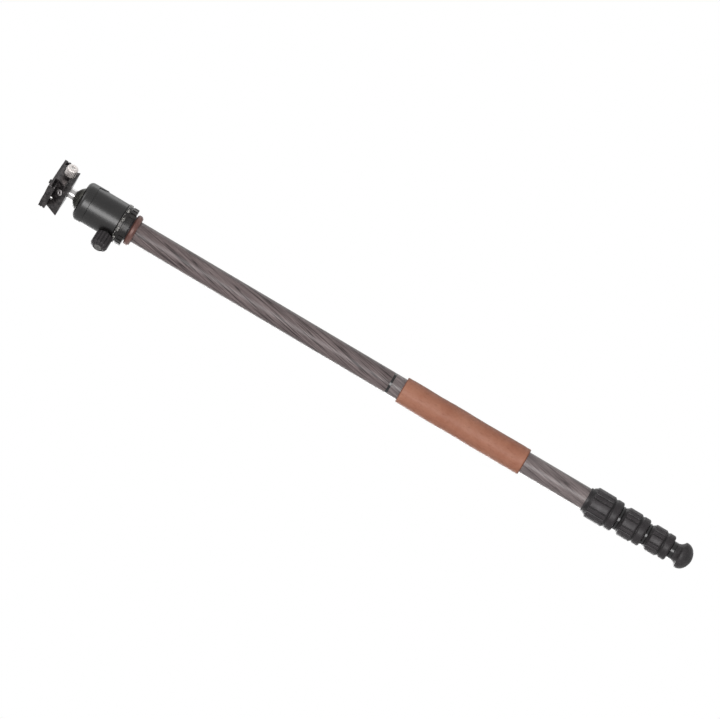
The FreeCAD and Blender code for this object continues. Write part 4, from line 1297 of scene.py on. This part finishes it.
@dataclass
class ClampTrim:
    """Small parts on the clamp and plate: socket screws, ribbed strips, threaded screw and level bubble."""

    bottom: float = 878.3 * MM
    lean: float = math.radians(26.1)
    half: float = 25.0 * MM
    screw_across: float = 9.2 * MM
    screw_height: float = 9.4 * MM
    screw_size: float = 4.2 * MM
    screw_proud: float = 0.25 * MM
    strip_inner: float = 5.18 * MM
    strip_width: float = 9.0 * MM
    strip_half: float = 26.5 * MM
    strip_pitch: float = 2.0 * MM
    strip_depth: float = 0.35 * MM
    strip_steps: int = 9
    thread_pitch: float = 1.27 * MM
    thread_depth: float = 0.62 * MM
    thread_radius: float = 3.175 * MM
    head_radius: float = 6.5 * MM
    head_height: float = 2.4 * MM
    neck_radius: float = 2.6 * MM
    bubble_radius: float = 1.5 * MM
    bubble_height: float = 0.55 * MM
    ring_radius: float = 2.1 * MM
    ring_width: float = 0.12 * MM
    ring_height: float = 0.06 * MM

    def clamp_frame(self) -> np.ndarray:
        """Matrix from the clamp's directions (x along its screw, y along its groove) to the row frame."""
        return np.array(Matrix.Rotation(Axis.CLAMP.radians, 4, "Z"))

    def socket_screw(self, name: str, side: int, wardrobe: Wardrobe) -> None:
        """Socket screw let into a leaning end of the clamp.

        The socket's radius is r = f / cos(a mod 60 - 30), the distance to a hexagon's sides.

        Args:
            name: the piece's name.
            side: -1 for the end that faces the camera, 1 for the other.
            wardrobe: the finishes.
        """
        size, proud = self.screw_size, self.screw_proud
        flats, deep = size * 0.34, size * 0.6
        corners = [(0.0, -deep), (flats, -deep), (flats, proud)]
        corners += [(size - 0.3 * MM, proud), (size, proud - 0.3 * MM)]
        corners += [(size, -0.6 * MM - deep), (0.0, -0.6 * MM - deep)]
        outline = rounded_profile(corners, 0.25 * MM)

        def shape(angle: np.ndarray, radius: np.ndarray, height: np.ndarray) -> np.ndarray:
            hexagon = flats / np.cos((angle % (TURN / 6)) - TURN / 12)
            socket = (radius <= flats * 1.001) & (height > -deep - 0.01 * MM)
            return np.where(socket, radius * hexagon / flats, radius)

        end = side * (self.half - math.tan(self.lean) * self.screw_height)
        spot = Matrix.Translation((self.screw_across, end, self.bottom + self.screw_height))
        matrix = Matrix.Rotation(Axis.CLAMP.radians, 4, "Z") @ spot
        matrix = matrix @ Matrix.Rotation(-side * (math.pi / 2 - self.lean), 4, "X")
        piece = turned_surface(name, outline, 72, False, shape, None, np.array(matrix))
        wardrobe.place(piece, "grey_steel", "clamp", Slot.STEEL)

    def strips(self, wardrobe: Wardrobe) -> None:
        """Rubber strips whose top is ribbed: z = top - depth * (1 - |sin(pi y / pitch)|^0.7).

        Args:
            wardrobe: the finishes.
        """
        low, high = extent("plate_strips")
        base, top = low[2], high[2]
        steps = self.strip_steps
        along = np.linspace(-self.strip_half, self.strip_half, 251)
        crest = np.abs(np.sin(math.pi * along / self.strip_pitch)) ** 0.7
        turn = self.clamp_frame()
        for letter, side, nodes in (("a", -1, ["plate_strips"]), ("b", 1, [])):
            x0, x1 = side * self.strip_inner, side * (self.strip_inner + self.strip_width)
            across = np.linspace(x0, x1, steps)
            roof = top - self.strip_depth * (1 - crest)[:, None] * np.ones(steps)
            roof[:, [0, -1]] -= 0.15 * MM
            loops = np.zeros((len(along), steps + 2, 3))
            loops[:, :, 0] = np.concatenate([across, [x1, x0]])
            loops[:, :, 1] = along[:, None]
            loops[:, :steps, 2] = roof
            loops[:, steps:, 2] = base
            ends = loops[[0, -1]].mean(axis=1, keepdims=True) * np.ones((2, steps + 2, 1))
            loops = np.concatenate([ends[:1], loops, ends[1:]])
            piece = grid_mesh(f"plate_strip_{letter}", loops @ turn[:3, :3].T, (False, True))
            wardrobe.place(piece, "moulded_rubber", "plate", Slot.RUBBER, *nodes)

    def camera_screw(self, wardrobe: Wardrobe) -> None:
        """Threaded screw: r = outline - depth * |2 frac(z / pitch - a / 2 pi) - 1| on the thread's length.

        Args:
            wardrobe: the finishes.
        """
        low, high = extent("camera_screw")
        top, plate_top = high[2], extent("camera_plate")[1][2]
        pitch, depth, thread = self.thread_pitch, self.thread_depth, self.thread_radius
        bottom, head_top = low[2], low[2] + self.head_height
        corners = [
            (0.0, bottom),
            (self.head_radius, bottom, 0.4 * MM),
            (self.head_radius, head_top, 0.4 * MM),
            (self.neck_radius, head_top),
            (self.neck_radius, plate_top),
            (thread, plate_top + 0.5 * MM),
            (thread, top - 0.5 * MM),
            (thread - 0.7 * MM, top),
            (0.0, top),
        ]
        outline = rounded_profile(corners, 0.05 * MM)

        def shape(angle: np.ndarray, radius: np.ndarray, height: np.ndarray) -> np.ndarray:
            phase = (height / pitch - angle / TURN) % 1.0
            cut = depth * np.abs(2 * phase - 1)
            inside = (height > plate_top + 0.05 * MM) & (radius > thread - depth)
            return np.where(inside, np.maximum(radius - cut, thread - depth), radius)

        piece = turned_surface("camera_screw_thread", outline, 96, False, shape)
        wardrobe.place(piece, "blackened_steel", "camera_fixing", Slot.STEEL, "camera_screw")

    def level(self, wardrobe: Wardrobe) -> None:
        """Bubble and ring of the level: a flat ellipsoid just under the vial's top and a thin ring on it.

        Args:
            wardrobe: the finishes.
        """
        low, high = extent("level_vial")
        centre = (low + high) / 2
        t = np.linspace(0, math.pi, 33)
        bubble = np.stack([self.bubble_radius * np.sin(t), -self.bubble_height * np.cos(t)], 1)
        bubble[0, 0] = bubble[-1, 0] = 0.0
        spot = (centre[0] + 0.3 * MM, centre[1] - 0.2 * MM, high[2] - 0.7 * MM)
        place = np.array(Matrix.Translation(spot))
        piece = turned_surface("level_bubble", bubble, 48, place=place)
        wardrobe.place(piece, "scale_paint", "clamp", Slot.LEVEL_GLASS)
        angle = np.linspace(0, TURN, 16, endpoint=False)
        width, height = self.ring_width, self.ring_height
        ring = np.stack([self.ring_radius + width * np.cos(angle), height * np.sin(angle)], 1)
        place = np.array(Matrix.Translation((centre[0], centre[1], high[2] + height)))
        piece = turned_surface("level_ring", ring, 64, True, place=place)
        wardrobe.place(piece, "polished_black", "clamp", Slot.LEVEL_GLASS)

    def build(self, wardrobe: Wardrobe) -> None:
        """Builds all the small parts.

        Args:
            wardrobe: the finishes.
        """
        for letter, side in (("a", -1), ("b", 1)):
            self.socket_screw(f"clamp_socket_screw_{letter}", side, wardrobe)
        self.strips(wardrobe)
        self.camera_screw(wardrobe)
        self.level(wardrobe)


def bearing(turn: float, rise: float) -> Vector:
    """Direction (sin a cos e, -cos a cos e, sin e) of length 1.

    Args:
        turn: the angle a about Z in radians, from -Y towards +X.
        rise: the angle e above level in radians.

    Returns:
        The direction.
    """
    return Vector((math.sin(turn) * math.cos(rise), -math.cos(turn) * math.cos(rise), math.sin(rise)))


@dataclass
class PhotoCamera:
    """Level camera rolled to the photograph's slant."""

    turn: float = math.radians(-12.0)
    rise: float = math.radians(0.0)
    roll: tuple = (0.5098, -0.8603)
    target_height: float = 0.4709
    target_side: float = 0.0056
    distance: float = 10.0
    lens: float = 411.7
    sensor: float = 36.0
    reach: float = 80.0

    def build(self) -> None:
        """The picture's right is a mix of the level right and the up, so the monopod slants in it."""
        back = bearing(self.turn, self.rise)
        level = Vector((math.cos(self.turn), math.sin(self.turn), 0.0))
        up = back.cross(level)
        right = (self.roll[0] * level + self.roll[1] * up).normalized()
        top = back.cross(right)
        data = bpy.data.cameras.new("photo_camera")
        data.lens, data.sensor_width, data.clip_end = self.lens, self.sensor, self.reach
        camera = bpy.data.objects.new("photo_camera", data)
        bpy.context.scene.collection.objects.link(camera)
        target = Vector((0, 0, self.target_height)) + level * self.target_side
        columns = Matrix((right, top, back)).transposed().to_4x4()
        camera.matrix_world = Matrix.Translation(target + back * self.distance) @ columns
        bpy.context.scene.camera = camera


@dataclass(frozen=True)
class SoftBox:
    """One rectangular studio lamp; its turn and rise are in degrees, its power in watts."""

    name: str
    turn: float
    rise: float
    distance: float
    size: tuple
    power: float

    def build(self, centre: Vector) -> None:
        """Places the lamp on a sphere about the centre and points it there.

        Args:
            centre: the point it faces.
        """
        back = bearing(math.radians(self.turn), math.radians(self.rise))
        data = bpy.data.lights.new(self.name, "AREA")
        data.shape, data.size, data.size_y, data.energy = "RECTANGLE", self.size[0], self.size[1], self.power
        lamp = bpy.data.objects.new(self.name, data)
        bpy.context.scene.collection.objects.link(lamp)
        lamp.location = centre + back * self.distance
        lamp.rotation_euler = (-back).to_track_quat("-Z", "Y").to_euler()


def looked_at(tree: bpy.types.NodeTree) -> Socket:
    """Share that is 1 for camera, glossy and transmission rays and 0 for the rest.

    Args:
        tree: the node tree that gets the nodes.

    Returns:
        The share's output.
    """
    path = tree.nodes.new("ShaderNodeLightPath")
    share = path.outputs["Is Camera Ray"]
    for name in ("Is Glossy Ray", "Is Transmission Ray"):
        node = tree.nodes.new("ShaderNodeMath")
        node.operation = "MAXIMUM"
        tree.links.new(share, node.inputs[0])
        tree.links.new(path.outputs[name], node.inputs[1])
        share = node.outputs[0]
    return share


@dataclass
class Studio:
    """Pale floor at the depth that the drawn-out leg reaches, white surroundings and soft lamps."""

    floor_height: float = -0.802
    floor_radii: tuple = (9.0, 4.0, 1.5, 0.5, 0.0)
    floor_grey: float = 0.86
    fade: tuple = (1.2, 3.2)
    near_glow: float = 0.72
    ambient: float = 0.08
    centre: float = 0.46

    def floor(self) -> None:
        """A disc that turns to plain white far out for the camera, so it meets the surroundings evenly."""
        profile = np.array([[radius, self.floor_height] for radius in self.floor_radii])
        disc = turned_surface("studio_floor", profile, 64)
        sheet = NodeSheet("studio_floor")
        parts = sheet.add("SeparateXYZ", Vector=sheet.place)
        x, y = parts.outputs["X"], parts.outputs["Y"]
        squares = sheet.math("ADD", sheet.math("MULTIPLY", x, x), sheet.math("MULTIPLY", y, y))
        away = sheet.math("SQRT", squares)
        glowing = sheet.spread(away, *self.fade, self.near_glow, 1.0)
        share = sheet.math("MULTIPLY", glowing, looked_at(sheet.tree))
        glow = sheet.add("Emission", Strength=1.0)
        glow.inputs["Color"].default_value = (1, 1, 1, 1)
        matt = sheet.add("BsdfDiffuse")
        matt.inputs["Color"].default_value = (self.floor_grey, self.floor_grey, self.floor_grey, 1)
        mix = sheet.add("MixShader")
        sheet.feed(mix, 0, share)
        sheet.feed(mix, 1, matt.outputs[0])
        sheet.feed(mix, 2, glow.outputs[0])
        sheet.tree.links.new(mix.outputs[0], sheet.tree.nodes["Material Output"].inputs["Surface"])
        disc.data.materials.append(sheet.material)

    def surroundings(self) -> None:
        """World: white to the camera and in reflections, grey as a light."""
        world = bpy.data.worlds.new("studio_surroundings")
        bpy.context.scene.world = world
        world.use_nodes = True
        tree = world.node_tree
        spread = tree.nodes.new("ShaderNodeMapRange")
        tree.links.new(looked_at(tree), spread.inputs[0])
        for i, value in ((1, 0.0), (2, 1.0), (3, self.ambient), (4, 1.0)):
            spread.inputs[i].default_value = value
        ground = tree.nodes["Background"]
        ground.inputs["Color"].default_value = (1, 1, 1, 1)
        tree.links.new(spread.outputs[0], ground.inputs["Strength"])

    def build(self) -> None:
        """Makes floor, surroundings and lamps."""
        self.floor()
        self.surroundings()
        centre = Vector((0, 0, self.centre))
        for lamp in (
            SoftBox("key_light", -21.0, 3.0, 7.0, (3.2, 4.4), 415.0),
            SoftBox("fill_light", 110.0, 14.0, 5.0, (2.2, 3.0), 30.0),
            SoftBox("top_light", 20.0, 70.0, 3.0, (1.6, 1.6), 22.0),
            SoftBox("back_light", 190.0, 12.0, 4.0, (2.4, 3.0), 110.0),
        ):
            lamp.build(centre)
        bpy.context.scene.view_settings.view_transform = "Standard"


def dress_frame(wardrobe: Wardrobe) -> None:
    """Gives every frame node that stays a finish that suits it.

    Args:
        wardrobe: the finishes.
    """
    kinds = ("lock_nut", "lock_collet", "guide_bush")
    numbered = {kind: [f"{kind}_{i}" for i in LOCKS] for kind in kinds}
    anodised = ["pan_base", "scale_ring", "retainer_disc", "lock_plunger", "level_cup", "joint_socket"]
    white = ["upper_seat", "lower_cup", "brake_shoe"]
    screws = ["head_stud", "retainer_screws", "main_screw", "pan_screw", "clamp_screw"]
    worn_by = {
        "powder_coat": ["ball_housing"],
        "black_anodised": anodised + numbered["lock_nut"],
        "clamp_anodised": ["clamp_base", "clamp_jaw", "camera_plate"],
        "copper_anodised": ["top_ring"],
        "polished_black": ["lock_collar_2", "lock_collar_3", "foot_insert", "joint_stud"],
        "moulded_rubber": ["lock_collar_1", "friction_pad"],
        "knob_cap_skin": ["main_cap", "pan_cap"],
        "grip_foam_skin": ["grip_foam"],
        "tinted_liquid": ["level_vial"],
        "white_acetal": white + numbered["lock_collet"] + numbered["guide_bush"],
        "plain_steel": screws + ["clamp_bolt", "guide_pins", "plate_stops"],
    }
    for finish, nodes in worn_by.items():
        for node in nodes:
            wardrobe.put_on(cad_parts[node], finish)
            log.info("node %s wears %s", node, finish)


def knobs() -> list[RibbedKnob]:
    """Sizes of the three knobs, read in the photo or, for the main lock, guessed to match.

    Returns:
        The knobs.
    """
    return [
        RibbedKnob(
            name="main_knob_rubber",
            node="main_knob",
            body="main_lock",
            slot=Slot.RUBBER,
            finish="ribbed_rubber",
            axis=Axis.MAIN_KNOB,
            height=828.6 * MM,
            start=27.9 * MM,
            end=49.9 * MM,
            radius=14.0 * MM,
            bore=3.0 * MM,
            ribs=16,
            rib_depth=1.3 * MM,
            dome=3.5 * MM,
            recess_radius=7.5 * MM,
            recess_depth=4.0 * MM,
        ),
        RibbedKnob(
            name="pan_knob_rubber",
            node="pan_knob",
            body="pan_lock",
            slot=Slot.RUBBER,
            finish="ribbed_rubber",
            axis=Axis.PAN_KNOB,
            height=813.8 * MM,
            start=26.9 * MM,
            end=46.8 * MM,
            radius=10.9 * MM,
            bore=2.5 * MM,
            ribs=14,
            rib_depth=1.0 * MM,
            dome=2.6 * MM,
            recess_radius=5.2 * MM,
            recess_depth=1.2 * MM,
        ),
        RibbedKnob(
            name="clamp_knob_bright",
            node="clamp_knob",
            body="jaw_knob",
            slot=Slot.BRIGHT_STEEL,
            finish="bright_knob",
            axis=Axis.CLAMP,
            height=887.9 * MM,
            start=24.4 * MM,
            end=37.6 * MM,
            radius=7.1 * MM,
            bore=2.5 * MM,
            ribs=18,
            rib_depth=0.45 * MM,
            dome=1.4 * MM,
            collar_radius=4.8 * MM,
            collar_length=1.6 * MM,
        ),
    ]


def main() -> None:
    """Builds the pieces in order, then the studio and the camera."""
    logging.basicConfig(level=logging.INFO, format="%(message)s")
    wardrobe = Wardrobe()
    dress_frame(wardrobe)
    widest, step = 14.0, 1.5
    pieces = [CarbonTube("column_tube", "column", widest * MM, "carbon_laminate")]
    for i, body in enumerate(("column", "section_2", "section_3", "section_4")):
        pieces.append(CarbonTube(f"leg_tube_{i + 1}", body, (widest - step * i) * MM))
    pieces += [TwistLock(number) for number in LOCKS]
    pieces += [RoundFoot(), HandGrip(), PanScale(), BallAndStem(), *knobs(), ClampTrim()]
    for piece in pieces:
        piece.build(wardrobe)
    Studio().build()
    PhotoCamera().build()


if __name__ == "__main__":
    main()
